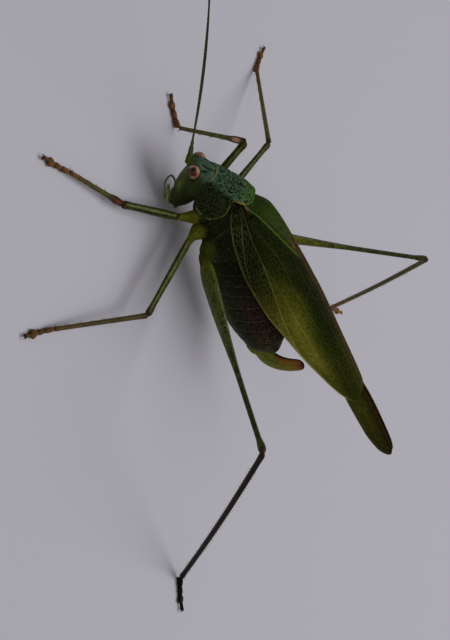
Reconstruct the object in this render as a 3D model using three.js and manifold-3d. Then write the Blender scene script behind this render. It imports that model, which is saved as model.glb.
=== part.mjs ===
// A long-horned grasshopper, an adult female sickle-bearing bush-cricket, life size, standing
// on its six feet with its head low and turned a little to its left.
// Millimetres. +Z is up, the head points to -Y and the animal's left is +X.

import * as THREE from "three";
import { ParametricGeometry } from "three/addons/geometries/ParametricGeometry.js";
import { mergeVertices } from "three/addons/utils/BufferGeometryUtils.js";
import Module from "manifold-3d";

const wasm = await Module();
wasm.setup();

// ---------------------------------------------------------------- driving dimensions

const GAP = 0.25; // room between two neighbouring pieces
const FEELER = 0.26; // half thickness of the slenderest pieces

// The trunk: its height at the front of the back shield, and how it tilts.
const TRUNK = { height: 6.7, nose_down: 15.5, lean: -2.7 };
// The front of the body bends down and to the left at a point inside the shield.
const FRONT = { nose_down: 20, turn_left: 17.5, lean: -1.3, pivot: [0, 3.6, -2.0] };
const HEAD = { nose_down: 4, turn_left: -7, lean: 0, pivot: [0, 0.3, -1.9] };

const EYE = { side: 0.9, back: -1.17, up: -0.83, radius: 0.6, shape: [0.9, 0.98, 1.04] };
const ANTENNA = { length: 42, socket: [0.4, -1.9, -0.75], scape: 1.3, scape_half: 0.28, sunk: 0.45, lengths: 3 };

const SHIELD = { length: 4.0, front_half: 1.25, rear_half: 1.38 };
const TEGMEN = { start: 3.2, end: 23.2, thickness: 0.5 };
const HIND_WING = { start: 20.5, end: 29.8, thickness: 0.5, right_raised: 0.16, right_shorter: 0.2 };

// Where each pair of legs leaves the body and hinges (left side).
const HIPS = {
  fore: { root: [0.85, 1.9, -3.75], hip: [1.65, 0.25, -4.75] },
  mid: { root: [0.9, 3.95, -4.85], hip: [2.86, 3.95, -5.45] },
  hind: { root: [1.1, 5.6, -4.9], hip: [2.6, 6.1, -5.6] },
};
// The lengths of its parts, the coxa's half width at each end, and how far the leg bows.
const PAIRS = {
  fore: { femur: 6.5, tibia: 6.4, tarsus: 3.1, coxa: [0.6, 0.34], bow: 0 },
  mid: { femur: 8.3, tibia: 9.4, tarsus: 3.2, coxa: [0.75, 0.36], bow: 0 },
  hind: { femur: 19.2, tibia: 21.1, tarsus: 3.3, coxa: [0.75, 0.5], bow: 0.35 },
};
const ANKLE_HEIGHT = 0.45;
const TOE_HEIGHT = 0.3; // the middle of a foot over the floor
const JOINT_CAP = 0.3; // the rounded end of a leg's length
// The pose. foot is the ankle's place on the floor, knee_lean turns the knee about the line
// from hip to ankle (0 is straight above it), and toes is the heading of the claws in
// degrees from straight ahead towards the animal's left. swing moves a hip back.
const LEGS = [
  { name: "fore_left", pair: "fore", side: 1, foot: [12.1, -5.35], knee_lean: -123.5, toes: 43 },
  { name: "mid_left", pair: "mid", side: 1, foot: [19.3, 3.35], knee_lean: -77, toes: 66 },
  { name: "hind_left", pair: "hind", side: 1, foot: [15.3, 31.25], knee_lean: 39.5, toes: 155 },
  { name: "fore_right", pair: "fore", side: -1, foot: [-3.15, -1.7], knee_lean: -1.5, toes: -8, swing: 1.2 },
  { name: "mid_right", pair: "mid", side: -1, foot: [-18.3, -0.35], knee_lean: 17.5, toes: -65 },
  { name: "hind_right", pair: "hind", side: -1, foot: [-22.3, 28.05], knee_lean: -5.8, toes: -134 },
];

const UP = new THREE.Vector3(0, 0, 1);
const FORWARD = new THREE.Vector3(0, -1, 0);

// ---------------------------------------------------------------- materials

const finish = (color, roughness) => new THREE.MeshStandardMaterial({ color, roughness, metalness: 0 });
const MATERIAL = {
  head: finish(0x404a2a, 0.5),
  eye: finish(0x8a5a46, 0.3),
  antenna: finish(0x4a4a2c, 0.6),
  shield: finish(0x3c5038, 0.5),
  body: finish(0x363a1c, 0.5),
  wing: finish(0x40461a, 0.5),
  ovipositor: finish(0x786a26, 0.35),
  leg: finish(0x666a38, 0.5),
  foot: finish(0x7a5430, 0.5),
};

// ---------------------------------------------------------------- geometry helpers

const vector = (list) => new THREE.Vector3(...list);
const radians = THREE.MathUtils.degToRad;

// A smooth function through rows of [t, value, value...], with no overshoot between rows.
function profile(rows) {
  const count = rows[0].length - 1;
  const slope = (i, k) => {
    if (i === 0 || i === rows.length - 1) return 0;
    const before = (rows[i][k] - rows[i - 1][k]) / (rows[i][0] - rows[i - 1][0]);
    const after = (rows[i + 1][k] - rows[i][k]) / (rows[i + 1][0] - rows[i][0]);
    return before * after > 0 ? (2 * before * after) / (before + after) : 0;
  };
  return (t) => {
    let i = 0;
    while (i < rows.length - 2 && t > rows[i + 1][0]) i += 1;
    const span = rows[i + 1][0] - rows[i][0];
    const s = THREE.MathUtils.clamp((t - rows[i][0]) / span, 0, 1);
    const values = [];
    for (let k = 1; k <= count; k += 1) {
      const rise = rows[i + 1][k] - rows[i][k];
      const start = slope(i, k) * span;
      const end = slope(i + 1, k) * span;
      const bend = 3 * rise - 2 * start - end + s * (start + end - 2 * rise);
      values.push(rows[i][k] + s * (start + s * bend));
    }
    return values;
  };
}

// Closes a surface: joins its seam and poles, drops the triangles that collapsed there, and
// turns the faces outwards.
function sealed(geometry) {
  geometry.deleteAttribute("normal");
  geometry.deleteAttribute("uv");
  const merged = mergeVertices(geometry, 1e-5);
  const place = merged.getAttribute("position");
  const corner = [0, 1, 2].map(() => new THREE.Vector3());
  const kept = [];
  let volume = 0;
  for (let i = 0; i < merged.index.count; i += 3) {
    const [a, b, c] = [0, 1, 2].map((k) => merged.index.getX(i + k));
    if (a === b || b === c || c === a) continue;
    kept.push(a, b, c);
    [a, b, c].forEach((n, k) => corner[k].fromBufferAttribute(place, n));
    volume += corner[0].dot(corner[1].cross(corner[2]));
  }
  merged.setIndex(volume < 0 ? kept.reverse() : kept);
  merged.computeVertexNormals();
  return merged;
}

// A closed surface from place(u, v, target), which closes in u and has a pole at each end of v.
// Rings crowd towards the poles, so that the ends are round.
function skin(place, around, along) {
  const closing = (u, v, target) => place(u % 1, (1 - Math.cos(Math.PI * v)) / 2, target);
  return sealed(new ParametricGeometry(closing, around, along));
}

// A body lofted along a path. section(t) gives its half width, its half height above and
// below the path, and its squareness (2 is an oval). cap is how much of each end is rounded.
function loft({ path, section, cap = [0.1, 0.1], top = UP, around = 12, along = 12 }, grow = 0) {
  const step = 1e-3;
  const roundness = (t) => {
    const near = Math.min(t / cap[0], (1 - t) / cap[1], 1);
    return Math.sqrt(Math.max(1 - (1 - near) ** 2, 0));
  };
  const place = (u, t, target) => {
    const centre = path(t);
    const ahead = path(Math.min(t + step, 1)).sub(path(Math.max(t - step, 0))).normalize();
    const side = new THREE.Vector3().crossVectors(ahead, top).normalize();
    const rise = new THREE.Vector3().crossVectors(side, ahead);
    const [wide, above, below, square = 2] = section(t);
    const angle = 2 * Math.PI * u;
    const bend = (x) => Math.sign(x) * Math.abs(x) ** (2 / square);
    const sideways = (wide + grow) * bend(Math.cos(angle)) * roundness(t);
    const upright = (Math.sin(angle) > 0 ? above : below) + grow;
    target.copy(centre).addScaledVector(ahead, grow * (2 * t - 1));
    target.addScaledVector(side, sideways);
    target.addScaledVector(rise, upright * bend(Math.sin(angle)) * roundness(t));
  };
  return skin(place, around, along);
}

function straight(from, to) {
  return (t) => new THREE.Vector3().lerpVectors(from, to, t);
}

// A straight path that bows sideways by the given vector in its middle.
function bowed(from, to, sideways) {
  return (t) => straight(from, to)(t).addScaledVector(sideways, Math.sin(Math.PI * t));
}

function curved(points) {
  const curve = new THREE.CatmullRomCurve3(points.map(vector), false, "centripetal");
  return (t) => curve.getPoint(t);
}

function toSolid(geometry) {
  const vertProperties = geometry.getAttribute("position").array;
  const triVerts = new Uint32Array(geometry.index.array);
  return new wasm.Manifold(new wasm.Mesh({ numProp: 3, vertProperties, triVerts }));
}

function fromSolid(solid) {
  const { vertProperties, triVerts } = solid.getMesh();
  const geometry = new THREE.BufferGeometry();
  geometry.setAttribute("position", new THREE.BufferAttribute(new Float32Array(vertProperties), 3));
  geometry.setIndex(new THREE.BufferAttribute(new Uint32Array(triVerts), 1));
  geometry.computeVertexNormals();
  return geometry;
}

// What is left of a body once its neighbours' rooms are cut away: the largest piece.
function carve(geometry, ...rooms) {
  let solid = toSolid(geometry);
  for (const room of rooms) solid = solid.subtract(toSolid(room));
  const pieces = solid.decompose();
  pieces.sort((a, b) => b.volume() - a.volume());
  return fromSolid(pieces[0]);
}

// A shape moved from one group's frame to another's.
function seenFrom(target, source, geometry) {
  const matrix = target.matrixWorld.clone().invert().multiply(source.matrixWorld);
  return geometry.clone().applyMatrix4(matrix);
}

function mirrored(geometry) {
  const copy = geometry.clone();
  copy.scale(-1, 1, 1);
  copy.setIndex(Array.from(copy.index.array).reverse());
  copy.computeVertexNormals();
  return copy;
}

// ---------------------------------------------------------------- the groups of the body

const animal = new THREE.Group();

function bentGroup(parent, { nose_down, turn_left = 0, lean, pivot = [0, 0, 0], height = 0 }) {
  const joint = new THREE.Group();
  joint.position.fromArray(pivot).add(new THREE.Vector3(0, 0, height));
  joint.rotation.set(radians(nose_down), radians(lean), radians(turn_left), "YXZ");
  const group = new THREE.Group();
  group.position.fromArray(pivot).negate();
  joint.add(group);
  parent.add(joint);
  parent.updateMatrixWorld(true);
  return group;
}

const trunk = bentGroup(animal, TRUNK);
const front = bentGroup(trunk, FRONT);
const headGroup = bentGroup(front, HEAD);
const standing = new THREE.Group();
animal.add(standing);

function add(group, name, geometry, material) {
  const mesh = new THREE.Mesh(geometry, material);
  mesh.name = name;
  group.add(mesh);
  return mesh;
}

// ---------------------------------------------------------------- back shield, thorax, abdomen

// The pronotum: a saddle with a flat disc, two keels, and a rounded lobe down each side.
// Rows: distance back, height of the top, height of the underside, half width.
const shieldRows = profile([
  [0, -0.08, -2.7, SHIELD.front_half],
  [0.3, 0, -3.5, 1.48],
  [0.44, 0, -3.62, 1.54],
  [0.58, 0.02, -3.35, 1.58],
  [0.68, 0.02, -2.3, 1.58],
  [0.76, 0.02, -1.0, 1.55],
  [1, 0, -0.5, SHIELD.rear_half],
]);
const shield = {
  path: (t) => {
    const [top, under] = shieldRows(t);
    return new THREE.Vector3(0, SHIELD.length * t, (top + under) / 2);
  },
  section: (t) => {
    const [top, under, half] = shieldRows(t);
    return [half, (top - under) / 2, (top - under) / 2, 3.2];
  },
  cap: [0.08, 0.06],
  around: 20,
  along: 11,
};
add(front, "pronotum", loft(shield), MATERIAL.shield);

// A body given by rows of [distance back, top, underside, half width], oval unless it is squarer.
function barrel(rows, { square = 2, ...options }) {
  const shape = profile(rows);
  const first = rows[0][0];
  const last = rows[rows.length - 1][0];
  return {
    path: (t) => {
      const back = first + (last - first) * t;
      const [top, under] = shape(back);
      return new THREE.Vector3(0, back, (top + under) / 2);
    },
    section: (t) => {
      const [top, under, half] = shape(first + (last - first) * t);
      return [half, (top - under) / 2, (top - under) / 2, square];
    },
    ...options,
  };
}

const thorax = barrel([
  [0.9, -1.2, -4.6, 1.35],
  [2.6, -0.5, -5.4, 1.6],
  [5.0, -0.3, -6.05, 1.68],
  [8.2, -0.9, -6.6, 1.6],
], { square: 2.8, cap: [0.16, 0.16], around: 14, along: 9 });
const abdomen = barrel([
  [6.6, -2.0, -6.6, 1.55],
  [9.5, -2.3, -7.4, 1.8],
  [13.0, -2.8, -8.1, 1.9],
  [15.6, -3.6, -7.7, 1.45],
  [17.3, -4.6, -6.6, 0.95],
], { cap: [0.12, 0.14], around: 16, along: 12 });

const shieldRoom = seenFrom(trunk, front, loft(shield, GAP));
const thoraxRoom = loft(thorax, GAP);
const abdomenRoom = loft(abdomen, GAP);

// ---------------------------------------------------------------- end of the abdomen

const plate = {
  path: curved([[0, 14.9, -7.0], [0, 16.2, -7.5], [0, 17.3, -7.1]]),
  section: profile([[0, 0.7, 0.5, 0.5], [0.6, 0.6, 0.45, 0.45], [1, 0.3, 0.3, 0.3]]),
  cap: [0.3, 0.3],
  around: 10,
  along: 6,
};
const cercus = {
  path: curved([[0.5, 16.0, -4.2], [0.65, 16.9, -4.45], [0.6, 17.6, -4.75]]),
  section: profile([[0, 0.3, 0.3, 0.3], [1, 0.26, 0.26, 0.26]]),
  cap: [0.25, 0.25],
  around: 8,
  along: 6,
};
// The ovipositor: a short blade, flat from side to side, that sweeps up like a sickle.
const blade = {
  path: curved([[0, 16.2, -6.7], [0, 17.5, -6.65], [0, 18.2, -6.15], [0, 18.75, -5.3], [0, 19.15, -3.66]]),
  section: profile([
    [0, 0.4, 0.9, 0.9],
    [0.35, 0.3, 0.86, 0.86],
    [0.6, 0.27, 0.74, 0.74],
    [0.85, 0.26, 0.6, 0.6],
    [1, 0.26, 0.5, 0.5],
  ]),
  cap: [0.12, 0.12],
  around: 10,
  along: 12,
};
const plateRoom = loft(plate, GAP);
const cercusRoom = loft(cercus, GAP);
add(trunk, "subgenital_plate", carve(loft(plate), abdomenRoom), MATERIAL.ovipositor);
const cercusLeft = carve(loft(cercus), abdomenRoom, plateRoom);
add(trunk, "cercus_left", cercusLeft, MATERIAL.body);
add(trunk, "cercus_right", mirrored(cercusLeft), MATERIAL.body);
const bladeCut = carve(loft(blade), abdomenRoom, plateRoom, cercusRoom, mirrored(cercusRoom));
add(trunk, "ovipositor", bladeCut, MATERIAL.ovipositor);

// ---------------------------------------------------------------- wings

// Rows: distance back, height of the upper edge, height of the lower edge, half width there.
const tegmenRows = profile([
  [TEGMEN.start, 0.1, -1.4, 1.75],
  [4.5, 0.85, -2.1, 2.1],
  [6.5, 1.15, -2.75, 2.2],
  [9.5, 1.28, -3.25, 2.2],
  [12.5, 1.3, -3.2, 2.1],
  [15.0, 1.2, -2.9, 1.85],
  [18.0, 1.02, -2.5, 1.45],
  [20.5, 0.85, -1.9, 1.15],
  [TEGMEN.end, 0.6, -1.2, 0.95],
]);
const MIDLINE = 0.15; // each tegmen stays this far from the middle plane
const ROUNDED = { front: 0.06, rear: 0.1, drift: 0.8 }; // its round ends, and where they draw in

// One tegmen: a shell that curves from the ridge of the back down over the side.
function tegmen(grow = 0) {
  const place = (u, t, target) => {
    const back = THREE.MathUtils.lerp(TEGMEN.start, TEGMEN.end, t);
    const [top, low, half] = tegmenRows(back);
    const nearEnd = Math.max((t - 1) / ROUNDED.rear + 1, 1 - t / ROUNDED.front, 0);
    const rounded = Math.sqrt(Math.max(1 - nearEnd ** 2, 0));
    const middle = (top + low) / 2;
    const upper = middle + (top - middle) * rounded;
    const lower = middle + (low - middle) * rounded;
    const outer = u < 0.5;
    const across = outer ? u * 2 : 2 - u * 2;
    const angle = (Math.PI / 2) * across;
    const depth = (outer ? grow : -TEGMEN.thickness - grow) * rounded;
    const reach = Math.max(half - MIDLINE, 0);
    const normal = new THREE.Vector2(Math.sin(angle) * (upper - lower), Math.cos(angle) * reach);
    normal.normalize();
    const edge = (across - 0.5) * 2 * grow;
    target.set(
      MIDLINE - grow + (reach + grow) * Math.sin(angle) * rounded + (1 - rounded) * reach * ROUNDED.drift,
      back + grow * (2 * t - 1),
      lower + (upper - lower) * Math.cos(angle) - edge,
    );
    target.x = Math.max(target.x + depth * normal.x, MIDLINE - grow);
    target.z += depth * normal.y;
  };
  return skin(place, 18, 14);
}
add(trunk, "tegmen_left", carve(tegmen(), shieldRoom), MATERIAL.wing);
add(trunk, "tegmen_right", carve(mirrored(tegmen()), shieldRoom), MATERIAL.wing);

// The folded hind wings reach out behind the tegmina, side by side.
function hindWing(raised, end) {
  const rows = profile([
    [0, 0.45 + raised, -1.2],
    [0.35, 0.6 + raised, -1.55],
    [0.7, 0.47 + raised, -1.5],
    [0.88, 0.33 + raised, -1.2],
    [1, 0.18 + raised, -0.75],
  ]);
  const place = (t) => {
    const [top, low] = rows(t);
    const back = THREE.MathUtils.lerp(HIND_WING.start, end, t);
    return new THREE.Vector3(MIDLINE + HIND_WING.thickness / 2, back, (top + low) / 2);
  };
  const section = (t) => {
    const [top, low] = rows(t);
    return [HIND_WING.thickness / 2, (top - low) / 2, (top - low) / 2, 2.6];
  };
  return loft({ path: place, section, cap: [0.1, 0.08], around: 10, along: 9 });
}
const tegmenRoom = tegmen(GAP);
const wingRooms = [tegmenRoom, mirrored(tegmenRoom)];
add(trunk, "thorax", carve(loft(thorax), shieldRoom, ...wingRooms), MATERIAL.body);
add(trunk, "abdomen", carve(loft(abdomen), thoraxRoom, ...wingRooms), MATERIAL.body);
add(trunk, "hind_wing_left", carve(hindWing(0, HIND_WING.end), tegmenRoom), MATERIAL.wing);
const rightEnd = HIND_WING.end - HIND_WING.right_shorter;
const rightWing = carve(hindWing(HIND_WING.right_raised, rightEnd), tegmenRoom);
add(trunk, "hind_wing_right", mirrored(rightWing), MATERIAL.wing);

// ---------------------------------------------------------------- head

// Rows: share of the way down, front, back, half width.
const CROWN = 0.02;
const CHIN = -4.5;
const headRows = profile([
  [0, 1.35, -1.1, 0.95],
  [0.22, 1.74, -0.8, 1.15],
  [0.48, 1.74, -0.7, 1.27],
  [0.7, 1.62, -0.6, 1.2],
  [0.86, 1.42, -0.42, 1.03],
  [1, 1.2, -0.1, 0.85],
]);
const cranium = {
  path: (t) => {
    const [ahead, behind] = headRows(t);
    return new THREE.Vector3(0, -(ahead + behind) / 2, THREE.MathUtils.lerp(CROWN, CHIN, t));
  },
  section: (t) => {
    const [ahead, behind, half] = headRows(t);
    return [half, (ahead - behind) / 2, (ahead - behind) / 2, 2.3];
  },
  top: FORWARD,
  cap: [0.2, 0.12],
  around: 16,
  along: 12,
};
const jaws = {
  path: straight(new THREE.Vector3(0, -0.9, -4.0), new THREE.Vector3(0, -0.66, -5.35)),
  section: profile([[0, 0.8, 0.5, 0.7], [0.6, 0.7, 0.45, 0.55], [1, 0.45, 0.3, 0.3]]),
  top: FORWARD,
  cap: [0.2, 0.25],
  around: 10,
  along: 6,
};
function eyeball(grow = 0) {
  const ball = new THREE.SphereGeometry(EYE.radius + grow, 12, 8);
  ball.scale(...EYE.shape);
  ball.translate(EYE.side, EYE.back, EYE.up);
  return sealed(ball);
}
const eyeRoom = eyeball(GAP);
const collar = seenFrom(headGroup, front, loft(shield, GAP));
const head = carve(loft(cranium), collar, eyeRoom, mirrored(eyeRoom));
add(headGroup, "head", head, MATERIAL.head);
add(headGroup, "eye_left", eyeball(), MATERIAL.eye);
add(headGroup, "eye_right", mirrored(eyeball()), MATERIAL.eye);
const headRoom = loft(cranium, GAP);
add(headGroup, "mouthparts", carve(loft(jaws), headRoom), MATERIAL.head);

// Two pairs of palps hang from the mouth: their joints' places, left side.
const PALPS = {
  maxillary_palp_left: [[0.75, -1.1, -4.4], [1.05, -1.95, -3.7], [1.15, -2.05, -4.1], [1.0, -1.4, -4.9]],
  maxillary_palp_right: [[-0.75, -1.1, -4.4], [-0.8, -2.1, -3.4], [-0.7, -2.15, -3.9], [-0.3, -1.45, -4.95]],
  labial_palp_left: [[0.55, -0.2, -4.6], [0.75, -0.1, -5.1], [0.7, -0.4, -5.6]],
  labial_palp_right: [[-0.55, -0.2, -4.6], [-0.75, -0.1, -5.1], [-0.7, -0.4, -5.6]],
};
const jawRoom = loft(jaws, GAP);
for (const [name, joints] of Object.entries(PALPS)) {
  const palp = loft({
    path: curved(joints),
    section: () => [FEELER, FEELER, FEELER],
    cap: [0.1, 0.1],
    top: new THREE.Vector3(1, 0, 0),
    around: 6,
    along: 7,
  });
  add(headGroup, name, carve(palp, headRoom, jawRoom), MATERIAL.head);
}

// ---------------------------------------------------------------- antennae

// Each antenna leaves its socket and bends towards a heading and a rise, in degrees.
const ANTENNAE = [
  { name: "antenna_left", side: 1, heading: 12, rise: 32.5, droop: 8.6, turn: 7.6 },
  { name: "antenna_right", side: -1, heading: -14, rise: 20.5, droop: 11, turn: -8 },
];
const headRoomStanding = seenFrom(standing, headGroup, headRoom);
for (const antenna of ANTENNAE) {
  const [x, y, z] = ANTENNA.socket;
  const socket = headGroup.localToWorld(new THREE.Vector3(x * antenna.side, y, z));
  const heading = radians(antenna.heading);
  const rise = radians(antenna.rise);
  const across = new THREE.Vector3(Math.cos(heading), Math.sin(heading), 0);
  const ahead = new THREE.Vector3(Math.sin(heading), -Math.cos(heading), 0).multiplyScalar(Math.cos(rise));
  ahead.z = Math.sin(rise);
  // s is the distance from the socket in millimetres.
  const place = (s) => {
    const share = (s / ANTENNA.length) ** 2;
    const at = socket.clone().addScaledVector(ahead, s);
    at.addScaledVector(across, antenna.turn * share * 0.5);
    at.z -= antenna.droop * share;
    return at;
  };
  const stretch = (from, to, half) => ({
    path: (t) => place(THREE.MathUtils.lerp(from, to, t)),
    section: () => [half, half, half],
    cap: [0.08, 0.08],
    around: 6,
    along: 8,
  });
  const scape = stretch(-ANTENNA.sunk, ANTENNA.scape, ANTENNA.scape_half);
  add(standing, `${antenna.name}_scape`, carve(loft(scape), headRoomStanding), MATERIAL.head);
  const length = (ANTENNA.length - ANTENNA.scape) / ANTENNA.lengths;
  for (let n = 0; n < ANTENNA.lengths; n += 1) {
    const from = ANTENNA.scape + n * length + GAP;
    const piece = stretch(from, from + length - GAP, FEELER);
    add(standing, `${antenna.name}_${n + 1}`, loft(piece), MATERIAL.antenna);
  }
}

// ---------------------------------------------------------------- legs

// Half widths along each length: sideways, above and below.
const FEMUR = {
  fore: profile([
    [0, 0.3, 0.33, 0.33],
    [0.5, 0.31, 0.33, 0.33],
    [0.85, 0.27, 0.29, 0.29],
    [1, 0.33, 0.35, 0.35],
  ]),
  mid: profile([
    [0, 0.3, 0.34, 0.34],
    [0.5, 0.28, 0.3, 0.3],
    [0.85, 0.26, 0.26, 0.26],
    [1, 0.32, 0.34, 0.34],
  ]),
  hind: profile([
    [0, 0.4, 0.5, 0.6],
    [0.12, 0.5, 0.75, 1.2],
    [0.28, 0.38, 0.65, 1.05],
    [0.5, 0.28, 0.36, 0.6],
    [0.65, 0.26, 0.26, 0.26],
    [0.93, 0.26, 0.26, 0.26],
    [1, 0.32, 0.38, 0.38],
  ]),
};
const TIBIA = {
  fore: profile([
    [0, 0.3, 0.3, 0.3],
    [0.14, 0.38, 0.34, 0.34],
    [0.26, 0.27, 0.27, 0.27],
    [1, 0.26, 0.26, 0.26],
  ]),
  mid: profile([[0, 0.28, 0.28, 0.28], [1, 0.26, 0.26, 0.26]]),
  hind: profile([[0, 0.32, 0.32, 0.32], [0.1, 0.26, 0.26, 0.26], [1, 0.27, 0.27, 0.27]]),
};
// The tarsus widens at its third joint and ends in claws.
const TARSUS = profile([
  [0, 0.28, 0.26, 0.3],
  [0.45, 0.28, 0.2, 0.35],
  [0.62, 0.36, 0.22, 0.35],
  [0.74, 0.27, 0.2, 0.35],
  [1, 0.3, 0.22, 0.35],
]);
const FLOOR = { wide: 200, deep: 20 };
const floorBlock = new THREE.BoxGeometry(FLOOR.wide, FLOOR.wide, FLOOR.deep);
const FLOOR_CUT = sealed(floorBlock.translate(0, 0, -FLOOR.deep / 2));

// The knee of a leg whose hip, ankle and two lengths are known.
function kneeOf(hip, ankle, { femur, tibia }, lean) {
  const line = ankle.clone().sub(hip);
  const distance = line.length();
  line.normalize();
  const along = (femur ** 2 - tibia ** 2 + distance ** 2) / (2 * distance);
  const off = Math.sqrt(femur ** 2 - along ** 2);
  const above = UP.clone().addScaledVector(line, -line.z).normalize();
  const beside = new THREE.Vector3().crossVectors(line, above);
  const knee = hip.clone().addScaledVector(line, along);
  return knee.addScaledVector(above, off * Math.cos(lean)).addScaledVector(beside, off * Math.sin(lean));
}

for (const leg of LEGS) {
  const pair = PAIRS[leg.pair];
  const { root: rootPlace, hip: hipPlace } = HIPS[leg.pair];
  const group = leg.pair === "fore" ? front : trunk;
  const back = leg.swing ?? 0;
  const bodyPoint = ([x, y, z]) => group.localToWorld(new THREE.Vector3(x * leg.side, y + back, z));
  const root = bodyPoint(rootPlace);
  const hip = bodyPoint(hipPlace);
  const ankle = new THREE.Vector3(...leg.foot, ANKLE_HEIGHT);
  const knee = kneeOf(hip, ankle, pair, radians(leg.knee_lean));
  // The leg's own plane: its top is the side of the knee away from the foot.
  const outward = knee.clone().sub(hip.clone().lerp(ankle, 0.5)).normalize();
  const toes = radians(leg.toes);
  const heading = new THREE.Vector3(Math.sin(toes), -Math.cos(toes), 0);

  const [wide, narrow] = pair.coxa;
  const coxa = {
    path: straight(root, hip),
    section: profile([[0, wide, wide, wide], [1, narrow, narrow, narrow]]),
    top: UP,
    cap: [0.2, 0.2],
    around: 8,
    along: 6,
  };
  const femur = {
    path: bowed(hip, knee, outward.clone().multiplyScalar(-pair.bow)),
    section: FEMUR[leg.pair],
    top: outward,
    cap: [0.05, JOINT_CAP / pair.femur],
    around: 8,
    along: 9,
  };
  const tibia = {
    path: bowed(knee, ankle, outward.clone().multiplyScalar(pair.bow)),
    section: TIBIA[leg.pair],
    top: outward,
    cap: [JOINT_CAP / pair.tibia, JOINT_CAP / pair.tibia],
    around: 6,
    along: 8,
  };
  const toeRoot = ankle.clone().setZ(TOE_HEIGHT);
  const tarsus = {
    path: straight(toeRoot, toeRoot.clone().addScaledVector(heading, pair.tarsus)),
    section: TARSUS,
    cap: [0.1, 0.1],
    around: 8,
    along: 9,
  };
  const bodyRooms = [
    seenFrom(standing, trunk, thoraxRoom),
    seenFrom(standing, front, loft(shield, GAP)),
    seenFrom(standing, trunk, abdomenRoom),
  ];
  const coverRooms = wingRooms.map((room) => seenFrom(standing, trunk, room));
  const legNode = (part, shape, rooms, material) => {
    add(standing, `${part}_${leg.name}`, carve(loft(shape), ...rooms), material);
  };
  legNode("coxa", coxa, bodyRooms, MATERIAL.body);
  legNode("femur", femur, [loft(coxa, GAP), ...bodyRooms, ...coverRooms], MATERIAL.leg);
  legNode("tibia", tibia, [loft(femur, GAP), loft(tarsus, GAP)], MATERIAL.leg);
  legNode("tarsus", tarsus, [FLOOR_CUT], MATERIAL.foot);
}

// ---------------------------------------------------------------- place on the floor

animal.updateMatrixWorld(true);
const bounds = new THREE.Box3().setFromObject(animal, true);
const centre = bounds.getCenter(new THREE.Vector3());
animal.position.set(-centre.x, -centre.y, -bounds.min.z);
animal.updateMatrixWorld(true);

export default animal;
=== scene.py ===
"""A life-size long-horned grasshopper, an adult female sickle-bearing bush-cricket.

It stands on its six feet with its head low and turned a little to its left. Sizes are named in
millimetres, in the animal's own frames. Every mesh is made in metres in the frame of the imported
model: +Z is up, the head points to -Y and the animal's left is +X."""

import math

import bpy
import numpy as np
from mathutils import Matrix, Vector


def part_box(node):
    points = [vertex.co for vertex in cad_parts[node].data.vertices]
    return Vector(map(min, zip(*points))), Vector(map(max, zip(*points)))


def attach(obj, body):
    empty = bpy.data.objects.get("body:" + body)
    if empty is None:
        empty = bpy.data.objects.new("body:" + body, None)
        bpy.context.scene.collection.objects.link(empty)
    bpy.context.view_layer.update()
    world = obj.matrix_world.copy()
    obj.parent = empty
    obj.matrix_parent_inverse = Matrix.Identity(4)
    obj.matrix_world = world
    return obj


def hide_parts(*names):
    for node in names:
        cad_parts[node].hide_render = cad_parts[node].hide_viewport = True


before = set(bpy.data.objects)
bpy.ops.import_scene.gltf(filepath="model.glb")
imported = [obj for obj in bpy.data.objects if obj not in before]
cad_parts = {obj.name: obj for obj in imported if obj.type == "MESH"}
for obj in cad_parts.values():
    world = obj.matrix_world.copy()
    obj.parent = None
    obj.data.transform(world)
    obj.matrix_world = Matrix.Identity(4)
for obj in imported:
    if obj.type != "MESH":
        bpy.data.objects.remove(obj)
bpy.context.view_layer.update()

MM = 0.001
UP = np.array([0.0, 0.0, 1.0])
AHEAD = np.array([0.0, -1.0, 0.0])
LEVEL = np.array([1.0, 1.0, 0.0])  # a direction times this is level
SEED = 7

# ---------------------------------------------------------------- driving dimensions

# How the trunk tilts, and how the shield and then the head bend down and to the left from it.
TRUNK = dict(nose_down=15.5, lean=-2.7, height=6.7)
FRONT = dict(nose_down=20, turn_left=17.5, lean=-1.3, pivot=(0, 3.6, -2.0))
HEAD = dict(nose_down=4, turn_left=-7, pivot=(0, 0.3, -1.9))

EYE = dict(centre=(0.9, -1.17, -0.83), radius=0.6, shape=(0.9, 0.98, 1.04))
SHIELD_THICKNESS = 0.12
TEGMEN = dict(start=2.3, end=23.2, thickness=0.1, from_midline=0.15)
HIND_WING = dict(start=20.5, end=29.8, thickness=0.3, from_midline=0.16, right_raised=0.16, right_shorter=0.2)
SKIN_VOXEL = 0.078

PAIRS = ("fore", "mid", "hind")
SIDES = {"left": 1, "right": -1}
LEGS = [(pair, name) for pair in PAIRS for name in SIDES]
# Where each pair's coxa leaves the body and where the leg hinges on it, left side.
HIPS = {
    "fore": dict(root=(0.85, 2.1, -3.75), hip=(1.65, 0.25, -4.75), stump=(0.7, 0.34, 0.28), into_leg=0.8),
    "mid": dict(root=(0.9, 3.95, -4.85), hip=(2.86, 4.0, -5.5), stump=(0.86, 0.34, 0.3), into_leg=0.8),
    "hind": dict(root=(1.1, 5.5, -4.9), hip=(2.5, 6.0, -5.45), stump=(0.85, 0.52, 0.52), into_leg=1.2),
}
RIGHT_FORE_SWING = 1.2  # the right fore leg is swung back by this much
HIND_BOW = 0.35

# ---------------------------------------------------------------- numbers and frames


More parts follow.
